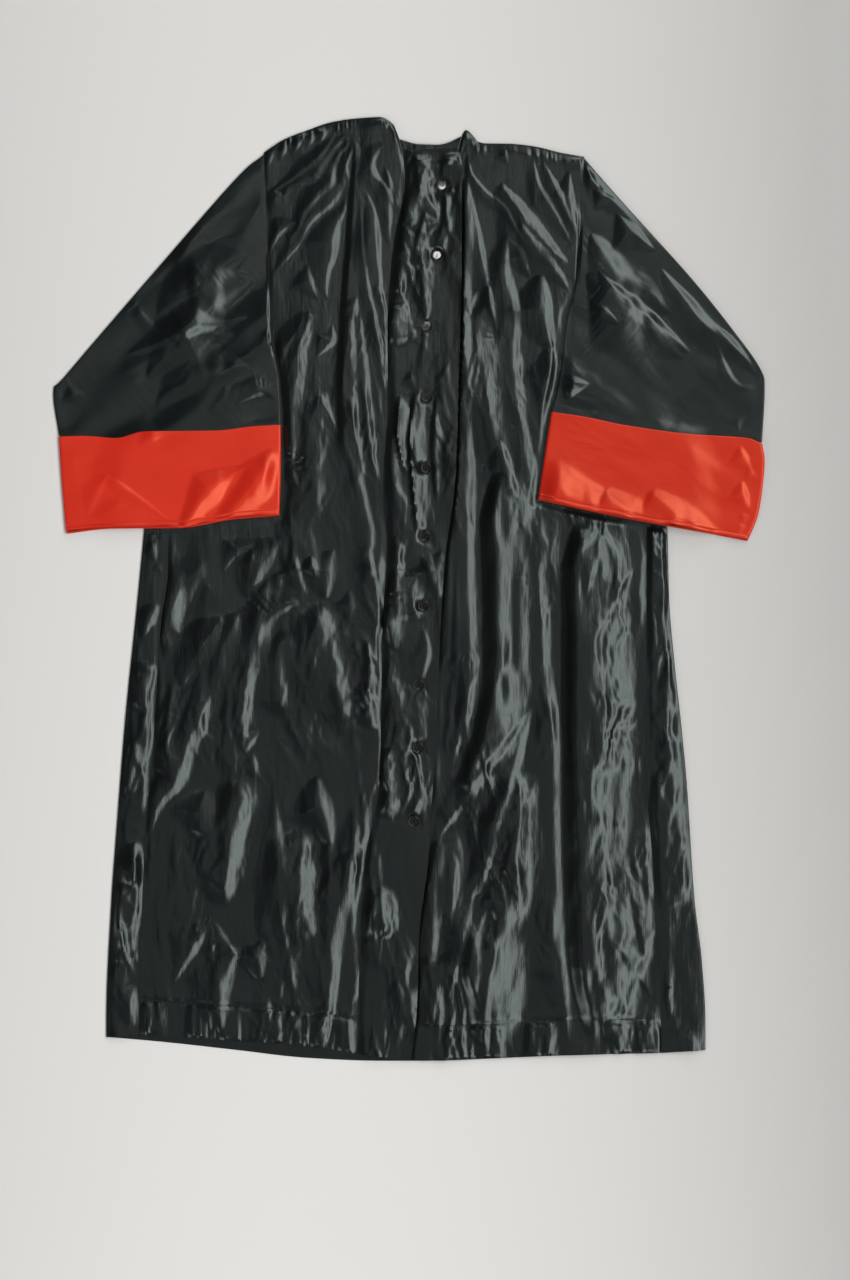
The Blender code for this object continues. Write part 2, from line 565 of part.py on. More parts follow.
def make_back(material, collection):
    """The back, which wraps round both sides and ends in a strip on the front of the robe."""
    columns = len(BACK_TOP_COLUMNS) - 1
    half_gap = SEAM_GAP / 2
    inset = EDGE_INSET + (FRONT_LEVEL - BACK_LEVEL) / 2
    top_x = np.array(BACK_TOP_COLUMNS, float)
    top_x[0] += half_gap
    top_x[-1] -= half_gap
    x, y = body_patch(
        lambda at: back_edge_right(at) + np.where(at > UNDERARM, half_gap, inset), right_side_rows,
        lambda at: back_edge_left(at) - np.where(at > UNDERARM, half_gap, inset), left_side_rows,
        top_x, SHOULDER_RIGHT + SHOULDER_LEFT,
        np.linspace(HEM_BACK[0].x + inset, HEM_BACK[-1].x - inset, columns + 1), HEM_BACK,
    )
    above_underarm = np.arange(len(x)) < ROWS_ABOVE
    middle = (FRONT_LEVEL + BACK_LEVEL) / 2
    right_y, left_y = y[:, 0], y[:, -1]
    right_fold = (back_edge_right(right_y) + EDGE_INSET, right_y, middle, above_underarm)
    left_fold = (back_edge_left(left_y) - EDGE_INSET, left_y, middle, above_underarm)
    right_seam_y = right_side_rows(SHOULDER_RIGHT[0].y, HEM_RIGHT_FRONT[0].y)
    left_seam_y = left_side_rows(SHOULDER_LEFT[-1].y, HEM_LEFT_FRONT[-1].y)
    right_strip = strip_columns(
        front_edge_right(right_seam_y) - half_gap, right_seam_y,
        back_edge_right(right_y) + inset, right_y, above_underarm,
    )
    left_strip = strip_columns(
        front_edge_left(left_seam_y) + half_gap, left_seam_y,
        back_edge_left(left_y) - inset, left_y, above_underarm,
    )
    under = [(x[:, k], y[:, k], BACK_LEVEL, False) for k in range(columns + 1)]
    strips = right_strip + [right_fold] + under + [left_fold] + left_strip[::-1]
    grids = [np.stack([np.broadcast_to(strip[k], len(x)) for strip in strips], axis=1) for k in range(4)]
    return make_sheet("back_panel", *grids[:3], material, collection, absent=grids[3])


def tube_columns(edge, rounding):
    """The places round a flattened tube: share across, distance from the edge, and layer."""
    inner = [(k / SLEEVE_COLUMNS, 0.0, 1.0) for k in range(1, SLEEVE_COLUMNS)]
    near, far = (0.0, edge + rounding), (1.0, -(edge + rounding))
    front = [near + (1.0,)] + inner + [far + (1.0,)]
    back = [far + (0.0,)] + [(share, 0.0, 0.0) for share, _, _ in reversed(inner)] + [near + (0.0,)]
    ring = [(0.0, edge, 0.5)] + front + [(1.0, -edge, 0.5)] + back
    return np.array(ring + ring[:1])


def tube_patch(ring, rows, outer, inner, top, bottom):
    """The grid of places round a flattened tube, from its outer edge to its inner one."""
    shares = np.arange(rows + 1) / rows
    outer, inner = even_path(outer, shares), even_path(inner, shares)
    width = np.hypot(*(inner - outer).T)[:, None]
    u = ring[None, :, 0] + ring[None, :, 1] / width
    v = np.repeat(shares[:, None], len(ring), axis=1)
    x, y = patch(u, v, outer[:, None], inner[:, None], top(u), bottom(u))
    return x, y, u


def line_between(rows, start, end):
    """A function from a share across to the place on a table's line."""

    def read(share):
        x = start + (end - start) * share
        return np.stack([x, read_table(rows, x)], axis=-1)

    return read


def armhole_line(arm, edge):
    """A function from a share down an armhole to the place just outside its seam."""
    top, bottom = arm.outer[0][1], arm.inner[0][1]

    def read(share):
        y = top + (bottom - top) * share
        return np.stack([edge(y) - arm.to_body * SEAM_GAP, y], axis=-1)

    return read


def edge_fade(u):
    """0 on a tube's two edges and 1 from one column in."""
    return ease(np.minimum(u, 1 - u) * SLEEVE_COLUMNS)


def make_sleeve(name, arm, edge, material, collection):
    """A sleeve: a flattened tube from the armhole, whose end lies inside the cuff."""
    ring = tube_columns(EDGE_INSET, (FRONT_LEVEL - BACK_LEVEL) / 2)
    inside_inset = EDGE_INSET + WALL + 2 * SEAM_GAP + WALL / 2
    inside_ring = tube_columns(inside_inset, (SLEEVE_IN_CUFF_FRONT - SLEEVE_IN_CUFF_BACK) / 2)
    end = line_between(arm.cuff_top, arm.outer[-1][0], arm.inner[-1][0])
    mouth = line_between(arm.cuff_mouth, arm.cuff_outer[-1][0], arm.cuff_inner[-1][0])
    free = tube_patch(ring, SLEEVE_ROWS, arm.outer, arm.inner, armhole_line(arm, edge), end)
    hidden = tube_patch(inside_ring, CUFF_ROWS, arm.cuff_outer, arm.cuff_inner, end, mouth)
    hidden[1][-1] += MOUTH_RECESS
    x, y, u = (np.vstack([above[:-1], below]) for above, below in zip(free, hidden))
    in_cuff = 1 - ease((y - read_table(arm.cuff_top, x)) / CUFF_STEP)
    in_cuff[SLEEVE_ROWS:] = 1.0
    from_seam = np.where(y > arm.inner[0][1], (edge(y) - x) * arm.to_body, SEAM_FADE)
    folds = relief(arm.folds, x, y) * edge_fade(u) * seam_fade(from_seam) * (1 - in_cuff)
    front = FRONT_LEVEL + (SLEEVE_IN_CUFF_FRONT - FRONT_LEVEL) * in_cuff + folds
    back = BACK_LEVEL + (SLEEVE_IN_CUFF_BACK - BACK_LEVEL) * in_cuff
    z = back + (front - back) * ring[None, :, 2] + body_lift(arm, x, y)
    return make_sheet(name, x, y, z, material, collection, tube=True)


def make_cuff(name, arm, material, collection):
    """A cuff: a wide band round the end of the sleeve."""
    ring = tube_columns(EDGE_INSET, (CUFF_FRONT_LEVEL - BACK_LEVEL) / 2)
    x, y, u = tube_patch(
        ring, CUFF_ROWS, arm.cuff_outer, arm.cuff_inner,
        line_between(arm.cuff_top, arm.cuff_outer[0][0], arm.cuff_inner[0][0]),
        line_between(arm.cuff_mouth, arm.cuff_outer[-1][0], arm.cuff_inner[-1][0]),
    )
    front = CUFF_FRONT_LEVEL + relief(arm.cuff_folds, x, y) * edge_fade(u)
    z = BACK_LEVEL + (front - BACK_LEVEL) * ring[None, :, 2] + body_lift(arm, x, y)
    return make_sheet(name, x, y, z, material, collection, tube=True)


def make_neckband(material, collection):
    """The neckband: a narrow flattened tube above the fronts and the back."""
    rounding = (FRONT_LEVEL - BACK_LEVEL) / 2
    left, right = NECKBAND_TOP[0].x, NECKBAND_TOP[-1].x
    share = np.linspace(0, 1, NECKBAND_COLUMNS + 1)
    front_x = left + rounding + share * (right - left - 2 * rounding)
    back_x = front_x[::-NECKBAND_BACK_STEP]
    wave = NECKBAND_WAVE * (1 - np.cos(2 * math.pi * NECKBAND_GATHERS * share))
    back_z = np.full(len(back_x), BACK_LEVEL)
    middle = [(FRONT_LEVEL + BACK_LEVEL) / 2]
    ring_x = np.concatenate([[left], front_x, [right], back_x, [left]])
    ring_z = np.concatenate([middle, FRONT_LEVEL + wave, middle, back_z, middle])
    bottom = NECK_Y + 2 * SEAM_GAP
    top = read_table(NECKBAND_TOP, ring_x)
    y = np.stack([top, (top + bottom) / 2, np.full(len(ring_x), bottom)])
    x = np.broadcast_to(ring_x, y.shape)
    z = np.broadcast_to(ring_z, y.shape)
    return make_sheet("neckband", x, y, z, material, collection, tube=True)


def make_buttons(material, collection, cutters):
    """Ten alike buttons: one turned disc with two holes, and a copy of it at each place."""
    mesh = bpy.data.meshes.new("button_profile")
    points = [(turn.radius * MM, 0, turn.height * MM) for turn in BUTTON_PROFILE]
    mesh.from_pydata(points, [(k, k + 1) for k in range(len(points) - 1)], [])
    disc = bpy.data.objects.new("button_pattern", mesh)
    cutters.objects.link(disc)
    screw = disc.modifiers.new("Turn", "SCREW")
    screw.steps = BUTTON_STEPS
    screw.render_steps = BUTTON_STEPS
    screw.use_merge_vertices = True
    screw.merge_threshold = BUTTON_WELD_DISTANCE * MM
    for sign in (-1, 1):
        bore = bmesh.new()
        bmesh.ops.create_cone(
            bore, cap_ends=True, segments=BUTTON_HOLE_SIDES, depth=BUTTON_CUTTER_DEPTH * MM,
            radius1=BUTTON_HOLE_RADIUS * MM, radius2=BUTTON_HOLE_RADIUS * MM,
        )
        bore_mesh = bpy.data.meshes.new("button_hole")
        bore.to_mesh(bore_mesh)
        bore.free()
        cutter = bpy.data.objects.new("button_hole", bore_mesh)
        cutter.location.x = sign * BUTTON_HOLE_SPACING / 2 * MM
        cutter.hide_render = True
        cutter.display_type = "WIRE"
        cutters.objects.link(cutter)
        cut = disc.modifiers.new("Hole", "BOOLEAN")
        cut.operation = "DIFFERENCE"
        cut.object = cutter
    view = bpy.context.evaluated_depsgraph_get()
    button_mesh = bpy.data.meshes.new_from_object(disc.evaluated_get(view))
    button_mesh.name = "button"
    button_mesh.materials.clear()
    button_mesh.materials.append(material)
    bpy.data.objects.remove(disc)
    for number, button in enumerate(BUTTONS, start=1):
        piece = bpy.data.objects.new(f"button_{number:02d}", button_mesh)
        piece.location = (button.x * MM, button.y * MM, BUTTON_LEVEL * MM)
        collection.objects.link(piece)


def main():
    for old in list(bpy.data.objects):
        bpy.data.objects.remove(old)
    robe = bpy.data.collections.new("Lawyer robe")
    cutters = bpy.data.collections.new("Cutters")
    for group in (robe, cutters):
        bpy.context.scene.collection.children.link(group)
    black = make_finish("black_satin")
    red = make_finish("red_satin")
    gloss = make_finish("black_button")
    make_back(black, robe)
    make_right_front(black, robe)
    make_left_front(black, robe)
    make_band(black, robe)
    make_neckband(black, robe)
    make_sleeve("sleeve_right", ARMS["right"], front_edge_right, black, robe)
    make_sleeve("sleeve_left", ARMS["left"], front_edge_left, black, robe)
    make_cuff("cuff_right", ARMS["right"], red, robe)
    make_cuff("cuff_left", ARMS["left"], red, robe)
    make_buttons(gloss, robe, cutters)


main()
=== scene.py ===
# %% [markdown]
# # Lawyer's robe, laid flat
#
# A court robe of black satin with wide red cuffs lies on its back on a pale floor, with its front up.
# It was gathered at the neck, packed away and unpacked, so it is covered in folds and creases.
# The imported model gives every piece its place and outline. This script makes each piece again as
# fine cloth on that form, and adds the creases, seams, stitches and finishes.
#
# The tables and formulas are in millimetres, as on a pattern, and a mesh's points are turned into
# metres. +X is the viewer's right, +Y runs from the hem to the neck, +Z is up and the floor is Z = 0.
# Right and left in the names are the wearer's, so the right front lies on the viewer's left.

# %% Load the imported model
import math
from collections import namedtuple

import bmesh
import bpy
import numpy as np
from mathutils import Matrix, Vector
from mathutils.bvhtree import BVHTree


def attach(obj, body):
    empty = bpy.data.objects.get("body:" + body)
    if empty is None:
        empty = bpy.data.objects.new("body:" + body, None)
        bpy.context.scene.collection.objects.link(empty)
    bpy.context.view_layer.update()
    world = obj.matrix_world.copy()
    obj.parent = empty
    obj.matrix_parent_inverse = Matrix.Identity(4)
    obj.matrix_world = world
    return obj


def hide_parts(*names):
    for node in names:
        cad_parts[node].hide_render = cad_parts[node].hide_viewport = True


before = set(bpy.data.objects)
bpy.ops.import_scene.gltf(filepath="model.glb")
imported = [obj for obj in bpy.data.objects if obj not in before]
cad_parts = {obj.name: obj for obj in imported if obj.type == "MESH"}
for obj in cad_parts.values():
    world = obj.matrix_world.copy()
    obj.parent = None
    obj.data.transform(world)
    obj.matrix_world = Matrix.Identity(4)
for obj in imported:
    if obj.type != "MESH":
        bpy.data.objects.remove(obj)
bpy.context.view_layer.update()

# %% Sizes of the cloth
MM = 0.001
WALL = 1.0
SEAM_GAP = 0.3
EDGE_INSET = 0.7

# Heights of the middle of each cloth layer above the floor.
BACK_LEVEL = WALL / 2
FRONT_LEVEL = 3.1
BAND_LEVEL = 4.7
SHOULDER_DROP = 1.3
SLEEVE_LIFT = 4.2
SLEEVE_IN_CUFF_BACK = 1.9
SLEEVE_IN_CUFF_FRONT = 3.9
CUFF_FRONT_LEVEL = 5.3

# Distances over which a height changes.
SEAM_FADE = 4.0
SEAM_FADE_SWING = 11.0
SHOULDER_FADE = 14.0
BAND_MARGIN = 0.6
BAND_FADE = 3.5
SLEEVE_MARGIN = 2.0
MOUTH_MARGIN = 2.0
COVER_FADE = 12.0
BAND_RISE = 12.0
BAND_UNDERLAP = 16.0
LIFT_FULL = 34.0
LIFT_NONE = 80.0
CUFF_STEP = 16.0
print("levels of back, front, band and cuff:", BACK_LEVEL, FRONT_LEVEL, BAND_LEVEL, CUFF_FRONT_LEVEL)

# %% [markdown]
# ## The pattern's lines
# A robe is cut from a few flat pieces: a back, two fronts, a buttonhole band, two sleeves, two cuffs
# and a neckband. Each seam and edge is a short table of places, read off the robe as it lies, and a
# smooth line through them gives every place between. Two pieces that share a seam read the same
# table, so they can't drift apart.

# %% Seams and edges of the body
Edge = namedtuple("Edge", "y x")
Line = namedtuple("Line", "x y")
UNDERARM = 171.0
ARMHOLE_RIGHT = (Edge(603, -201), Edge(337, -190))
ARMPIT_RIGHT = (Edge(337, -190), Edge(305, -204), Edge(275, -225), Edge(226, -268), Edge(UNDERARM, -328))
SEAM_RIGHT = (
    Edge(UNDERARM, -328), Edge(81, -333), Edge(23, -333), Edge(-52, -343),
    Edge(-179, -351), Edge(-374, -366), Edge(-504, -371), Edge(-615, -373),
)
SIDE_RIGHT = (
    Edge(UNDERARM, -358), Edge(68, -368), Edge(-15, -376), Edge(-181, -393),
    Edge(-346, -406), Edge(-429, -412), Edge(-595, -419), Edge(-618, -419),
)
ARMHOLE_LEFT = (Edge(596, 241), Edge(420, 231))
ARMPIT_LEFT = (Edge(420, 231), Edge(371, 241), Edge(295, 266), Edge(226, 300), Edge(UNDERARM, 326))
SEAM_LEFT = (
    Edge(UNDERARM, 326), Edge(77, 327), Edge(-61, 327), Edge(-236, 326),
    Edge(-374, 335), Edge(-479, 340), Edge(-553, 347), Edge(-639, 347),
)
SIDE_LEFT = (
    Edge(UNDERARM, 351), Edge(68, 357), Edge(-15, 359), Edge(-98, 366),
    Edge(-181, 375), Edge(-264, 383), Edge(-429, 394), Edge(-512, 404),
    Edge(-595, 409), Edge(-636, 409),
)
BAND_SEAM = (
    Edge(606, -10), Edge(571, -6), Edge(468, -23), Edge(371, -30),
    Edge(264, -30), Edge(131, -37), Edge(63, -31), Edge(-50, -37),
    Edge(-264, -41), Edge(-374, -61), Edge(-482, -68), Edge(-643, -72),
)
BAND_FREE_EDGE = (
    Edge(606, 68), Edge(585, 72), Edge(468, 72), Edge(357, 70),
    Edge(261, 67), Edge(150, 63), Edge(40, 49), Edge(-70, 42),
    Edge(-181, 38), Edge(-291, 31), Edge(-374, 26), Edge(-471, 14),
    Edge(-581, 10), Edge(-650, 2),
)
print("places along the band's seam and free edge:", len(BAND_SEAM), len(BAND_FREE_EDGE))

# %% Shoulders and hems
NECK_Y = 606.0
SHOULDER_RIGHT = (
    Line(-201, 602), Line(-173, 620), Line(-140, 633), Line(-107, 644),
    Line(-74, 649), Line(-41, 651), Line(-24, 643), Line(-16, 627), Line(-10, NECK_Y),
)
BAND_TOP = (Line(-10, NECK_Y), Line(68, NECK_Y))
SHOULDER_LEFT = (
    Line(68, NECK_Y), Line(74, 629), Line(78, 633), Line(88, 625),
    Line(97, 615), Line(141, 614), Line(175, 610), Line(208, 602), Line(241, 596),
)
HEM_RIGHT_FRONT = (Line(-373, -615), Line(-289, -620), Line(-151, -630), Line(-72, -641))
BAND_HEM = (Line(-72, -641), Line(2, -650))
HEM_LEFT_FRONT = (
    Line(-56, -648), Line(42, -650), Line(125, -647), Line(191, -644),
    Line(257, -642), Line(347, -640),
)
HEM_BACK = (
    Line(-419, -618), Line(-339, -625), Line(-239, -636), Line(-140, -647),
    Line(-41, -651), Line(42, -651), Line(125, -644), Line(257, -639), Line(409, -636),
)
NECKBAND_TOP = (Line(-8, 617), Line(9, 614), Line(42, 613), Line(56, 616), Line(66, 622))
length = max(row.y for row in SHOULDER_RIGHT) - min(row.y for row in HEM_BACK)
print("length of the robe:", length, "mm")

# %% Sleeves and cuffs
SLEEVE_RIGHT_OUTER = ((-201, 600), (-242, 564), (-368, 420), (-475, 295), (-492, 273), (-484, 210))
SLEEVE_RIGHT_INNER = ((-190, 337), (-184, 310), (-179, 270), (-177, 226))
SLEEVE_LEFT_OUTER = ((242, 595), (290, 540), (390, 429), (456, 346), (486, 302), (491, 275), (487, 200))
SLEEVE_LEFT_INNER = ((231, 420), (216, 368), (206, 293), (195, 244))
CUFF_RIGHT_OUTER = ((-484, 210), (-480, 150), (-474, 76))
CUFF_RIGHT_INNER = ((-177, 226), (-177, 164), (-179, 101))
CUFF_LEFT_OUTER = ((487, 200), (490, 170), (482, 106), (467, 66))
CUFF_LEFT_INNER = ((195, 244), (186, 184), (177, 123))
CUFF_RIGHT_TOP = (
    Line(-484, 210), Line(-448, 211), Line(-405, 208), Line(-365, 217),
    Line(-268, 218), Line(-215, 224), Line(-177, 226),
)
CUFF_RIGHT_MOUTH = (Line(-474, 76), Line(-412, 83), Line(-317, 84), Line(-242, 96), Line(-179, 101))
CUFF_LEFT_TOP = (
    Line(195, 244), Line(242, 237), Line(295, 226), Line(382, 214), Line(466, 208), Line(487, 200),
)
CUFF_LEFT_MOUTH = (Line(177, 123), Line(208, 116), Line(314, 94), Line(420, 75), Line(467, 66))
MOUTH_RECESS = 3.0
width = max(place[0] for place in SLEEVE_LEFT_OUTER) - min(place[0] for place in SLEEVE_RIGHT_OUTER)
print("width over both sleeves:", width, "mm")

# %% Buttons
Button = namedtuple("Button", "x y")
BUTTONS = (
    Button(45, 556), Button(38, 460), Button(24, 363), Button(24, 265), Button(23, 167),
    Button(21, 73), Button(19, -23), Button(13, -132), Button(12, -219), Button(6, -320),
)
BUTTON_LEVEL = BAND_LEVEL + WALL / 2 + SEAM_GAP
print("buttons:", len(BUTTONS), "on a line of", BUTTONS[0].y - BUTTONS[-1].y, "mm")

# %% [markdown]
# ## Creases
# Satin shows every crease as a bright line, because one side of the crease turns to the lamps. So a
# crease here is a slope: a path down the cloth, the slope's width, how far it rises, and how far the
# cloth behind its crest takes to fall back. The cloth between creases stays almost flat.
# `right` makes a slope that looks to the viewer's right of a path that runs down the robe, and
# `left` one that looks the other way. Kinds of crease, from a pulled thread of a line to a broad
# panel, keep the tables short, and the paths differ in length, bend and spacing as on the robe.

# %% Kinds of crease
# Width and bend are in millimetres, and slope is rise over width. The cloth behind the crest falls
# back over the tail, which is given in widths. A blunt crease keeps a share of its width at its ends,
# and any other runs out in a point.
Kind = namedtuple("Kind", "width slope tail bend blunt")
KINDS = {
    "thin": Kind(4.6, 0.38, 4, 0.9, 0), "small": Kind(7.6, 0.38, 4, 1.2, 0),
    "medium": Kind(11.5, 0.38, 4, 1.8, 0), "thick": Kind(17, 0.37, 3.5, 3.0, 0.15),
    "patch": Kind(24, 0.35, 3, 5.0, 0.4), "soft": Kind(24, 0.27, 2.5, 7.0, 0.4),
    "wide": Kind(34, 0.32, 2, 7.0, 0.5), "broad": Kind(46, 0.31, 1.2, 6.5, 0.65),
    "drop": Kind(7, 0.50, 6, 1.0, 0), "pleat": Kind(23, 0.38, 0.22, 2.5, 0.5),
    "crisp": Kind(11, 0.36, 0.5, 1.8, 0.3), "panel": Kind(49, 0.33, 0.5, 4.0, 0.5),
    "mottle": Kind(72, 0.235, 0.4, 6.0, 0.6), "glow": Kind(30, 0.35, 2.5, 6.0, 0.2),
    "sheen": Kind(30, 0.38, 3, 6.0, 0.2), "apron": Kind(40, 0.36, 2.5, 7.0, 0.4),
    "shelf": Kind(29, 0.46, 1.2, 6.0, 0.4), "wedge": Kind(24, 0.46, 1.5, 5.0, 0),
    "haze": Kind(25, 0.27, 3, 8.0, 0),
}
Crease = namedtuple("Crease", "kind looks path")


def right(kind, *path):
    return Crease(KINDS[kind], 1, path)


def left(kind, *path):
    return Crease(KINDS[kind], -1, path)


print("rise of each kind in mm:", {name: round(kind.width * kind.slope, 1) for name, kind in KINDS.items()})


# %% Creases of the right front
RIGHT_FRONT_CREASES = (
    right("thin", (-95, 640), (-110, 613), (-126, 592), (-143, 578), (-165, 562), (-186, 548),
          (-195, 537)),
    right("small", (-82, 631), (-103, 606), (-117, 585), (-128, 567), (-144, 559), (-165, 551),
          (-173, 527)),
    right("small", (-81, 617), (-95, 599), (-103, 578), (-107, 558), (-124, 541), (-143, 519),
          (-151, 498), (-162, 477)),
    right("small", (-155, 506), (-172, 495), (-183, 482), (-193, 461)),
    right("small", (-75, 613), (-86, 585), (-89, 564), (-96, 544), (-110, 526), (-135, 505),
          (-151, 475), (-172, 451), (-193, 422)),
    right("medium", (-88, 537), (-89, 520), (-96, 506), (-100, 482), (-103, 461), (-110, 440),
          (-114, 413), (-112, 399)),
    right("thin", (-157, 493), (-165, 475)),
    right("soft", (-172, 546), (-195, 509)),
    right("thin", (-186, 606), (-195, 578)),
    right("thin", (-165, 615), (-179, 589)),
    right("thin", (-144, 625), (-162, 595)),
    right("thin", (-126, 632), (-143, 603)),
    right("thin", (-107, 639), (-126, 611)),
    left("drop", (-75, 620), (-81, 537), (-85, 468), (-89, 426), (-95, 316), (-95, 206), (-82, 164),
          (-72, 123)),
    right("thin", (-66, 537), (-64, 475), (-61, 451), (-55, 413), (-43, 357), (-38, 330), (-37, 302),
          (-32, 275), (-27, 247)),
    right("small", (-61, 551), (-48, 523), (-43, 495), (-41, 454), (-39, 413), (-35, 399), (-31, 371)),
    right("small", (-30, 615), (-43, 603), (-49, 585), (-45, 571), (-34, 558), (-24, 537), (-20, 526)),
    right("small", (-34, 585), (-26, 564), (-26, 544), (-26, 516), (-26, 489), (-23, 468)),
    right("small", (-140, 447), (-135, 426), (-126, 399)),
    right("thick", (-129, 382), (-137, 364), (-144, 337), (-148, 316), (-151, 288), (-155, 261),
          (-157, 219), (-158, 192), (-165, 171)),
    right("small", (-155, 357), (-165, 337), (-175, 316), (-180, 288)),
    right("small", (-106, 364), (-104, 344), (-112, 333), (-129, 319)),
    right("soft", (-114, 275), (-118, 192), (-124, 164), (-121, 102)),
    right("small", (-77, 392), (-77, 344), (-74, 261), (-72, 219), (-68, 178), (-60, 123), (-52, 88),
          (-50, 61), (-53, 47), (-43, -1), (-38, -43)),
    right("medium", (-72, 404), (-72, 368)),
    right("small", (-68, 385), (-63, 337), (-57, 288), (-55, 247), (-49, 206), (-48, 178), (-41, 150),
          (-38, 130)),
    right("thin", (-164, 171), (-179, 137)),
    right("thin", (-164, 171), (-151, 137)),
    right("small", (-212, 61), (-234, 50), (-259, 22)),
    right("thin", (-212, 57), (-223, 6)),
    right("thick", (-177, 68), (-204, 19), (-226, -15)),
    right("small", (-193, 12), (-198, -29)),
    right("small", (-172, 26), (-179, -4)),
    right("small", (-161, 57), (-141, -11)),
    right("small", (-135, 47), (-124, 15)),
    right("thick", (-151, -18), (-186, -40), (-204, -81), (-215, -119), (-224, -174), (-228, -229)),
    right("small", (-206, -197), (-228, -229)),
    right("small", (-216, -225), (-204, -264)),
    right("soft", (-162, -57), (-169, -126), (-172, -181)),
    right("thick", (-103, 54), (-112, -15)),
    right("patch", (-117, -15), (-103, -84), (-88, -153), (-89, -208)),
    right("small", (-82, -1), (-78, -22), (-82, -50)),
    right("small", (-72, -70), (-68, -95)),
    right("small", (-66, -126), (-55, -167)),
    right("patch", (-46, -153), (-46, -195)),
    right("thin", (-52, -91), (-43, -109)),
    right("thin", (-46, -103), (-41, -128)),
    right("thick", (-233, -32), (-248, -84), (-268, -153), (-289, -195), (-307, -243), (-317, -270),
          (-337, -291), (-351, -319), (-358, -346)),
    right("thick", (-255, -38), (-278, -84), (-314, -137)),
    right("patch", (-275, 37), (-303, -4), (-322, -43), (-336, -105)),
    right("patch", (-213, -264), (-228, -319), (-239, -374), (-252, -446)),
    right("medium", (-186, -264), (-176, -360), (-172, -436), (-155, -567)),
    right("patch", (-151, -326), (-141, -402), (-135, -505)),
    right("thick", (-126, -257), (-110, -312), (-107, -353)),
    right("medium", (-271, -453), (-296, -498), (-326, -546)),
    right("small", (-271, -453), (-270, -519)),
    right("small", (-271, -453), (-234, -512)),
    right("thick", (-199, -484), (-204, -540)),
    right("thick", (-234, -491), (-250, -546), (-259, -615)),
    right("soft", (-275, -277), (-279, -346)),
    right("thick", (-77, -360), (-86, -422), (-96, -471), (-107, -567), (-117, -615)),
    right("medium", (-71, -291), (-68, -360), (-77, -484)),
)
print("right front:", len(RIGHT_FRONT_CREASES), "creases")

# %% Creases of the left front
LEFT_FRONT_CREASES = (
    right("medium", (81, 571), (85, 495), (83, 440), (79, 399), (81, 357), (83, 302), (81, 261),
          (81, 233), (84, 199), (86, 150), (85, 40), (88, -84), (85, -139), (74, -236)),
    right("small", (86, 544), (97, 489), (108, 426), (119, 364)),
    right("thin", (81, 606), (86, 575), (107, 548), (132, 527), (152, 489), (164, 471)),
    right("small", (133, 607), (136, 585)),
    right("thick", (125, 562), (159, 523), (191, 482), (221, 447)),
    right("medium", (152, 506), (177, 475), (208, 437), (219, 413)),
    right("small", (170, 598), (180, 558), (204, 516), (227, 472)),
    right("small", (184, 592), (208, 546), (231, 487)),
    right("small", (221, 578), (226, 516), (230, 495)),
    right("medium", (137, 489), (135, 440), (146, 399), (150, 364), (147, 337), (151, 282), (158, 226),
          (169, 171), (176, 102), (187, 61), (183, 12), (188, -43), (191, -98), (198, -153),
          (205, -222), (204, -291), (205, -374), (210, -457), (216, -540), (221, -629)),
    right("small", (137, 484), (155, 465), (169, 426)),
    right("thick", (184, 436), (191, 385), (198, 330)),
    right("medium", (197, 344), (198, 295), (184, 219)),
    right("small", (95, 413), (83, 378)),
    right("small", (111, 420), (121, 357)),
    right("glow", (100, 392), (110, 330), (116, 268), (128, 212), (140, 160)),
    right("medium", (125, 206), (136, 178), (150, 123)),
    right("panel", (140, 168), (147, 12), (147, -98), (138, -180), (114, -236), (82, -290)),
    right("thin", (53, 62), (57, 20), (55, -60), (50, -130)),
    right("thin", (66, 26), (69, -60), (65, -140)),
    right("small", (75, -146), (71, -200), (58, -252)),
    right("thin", (61, -118), (59, -180), (50, -244)),
    right("thin", (44, -60), (42, -130), (44, -190), (38, -250)),
    right("medium", (170, -161), (132, -215), (97, -264), (72, -302), (48, -335), (34, -374)),
    right("medium", (170, -161), (159, -208), (143, -264), (125, -333), (108, -388), (90, -429),
          (77, -477), (66, -526), (59, -567)),
    right("wide", (168, -250), (166, -374), (150, -440), (135, -500)),
    right("thick", (112, -420), (100, -480), (92, -560)),
    right("thick", (48, -346), (42, -402), (37, -484), (26, -533)),
    right("small", (59, -360), (66, -388), (56, -471)),
    right("soft", (120, -252), (104, -290), (86, -318)),
    right("soft", (70, -330), (68, -400), (60, -480)),
    right("haze", (118, -455), (110, -540), (104, -635)),
    right("soft", (52, -500), (46, -560), (38, -610)),
    right("broad", (145, -455), (139, -530), (141, -630)),
    right("mottle", (270, 100), (272, -98), (274, -319), (284, -630)),
    right("small", (260, 83), (233, 47), (224, 26)),
    right("small", (270, 83), (259, 40), (242, -15)),
    right("small", (314, 36), (281, -22), (273, -50)),
    right("small", (242, -91), (246, -139), (259, -167), (273, -250)),
    right("small", (267, -333), (274, -408), (263, -471)),
    left("small", (279, -484), (335, -567)),
    left("small", (297, -381), (325, -519)),
)
print("left front:", len(LEFT_FRONT_CREASES), "creases")

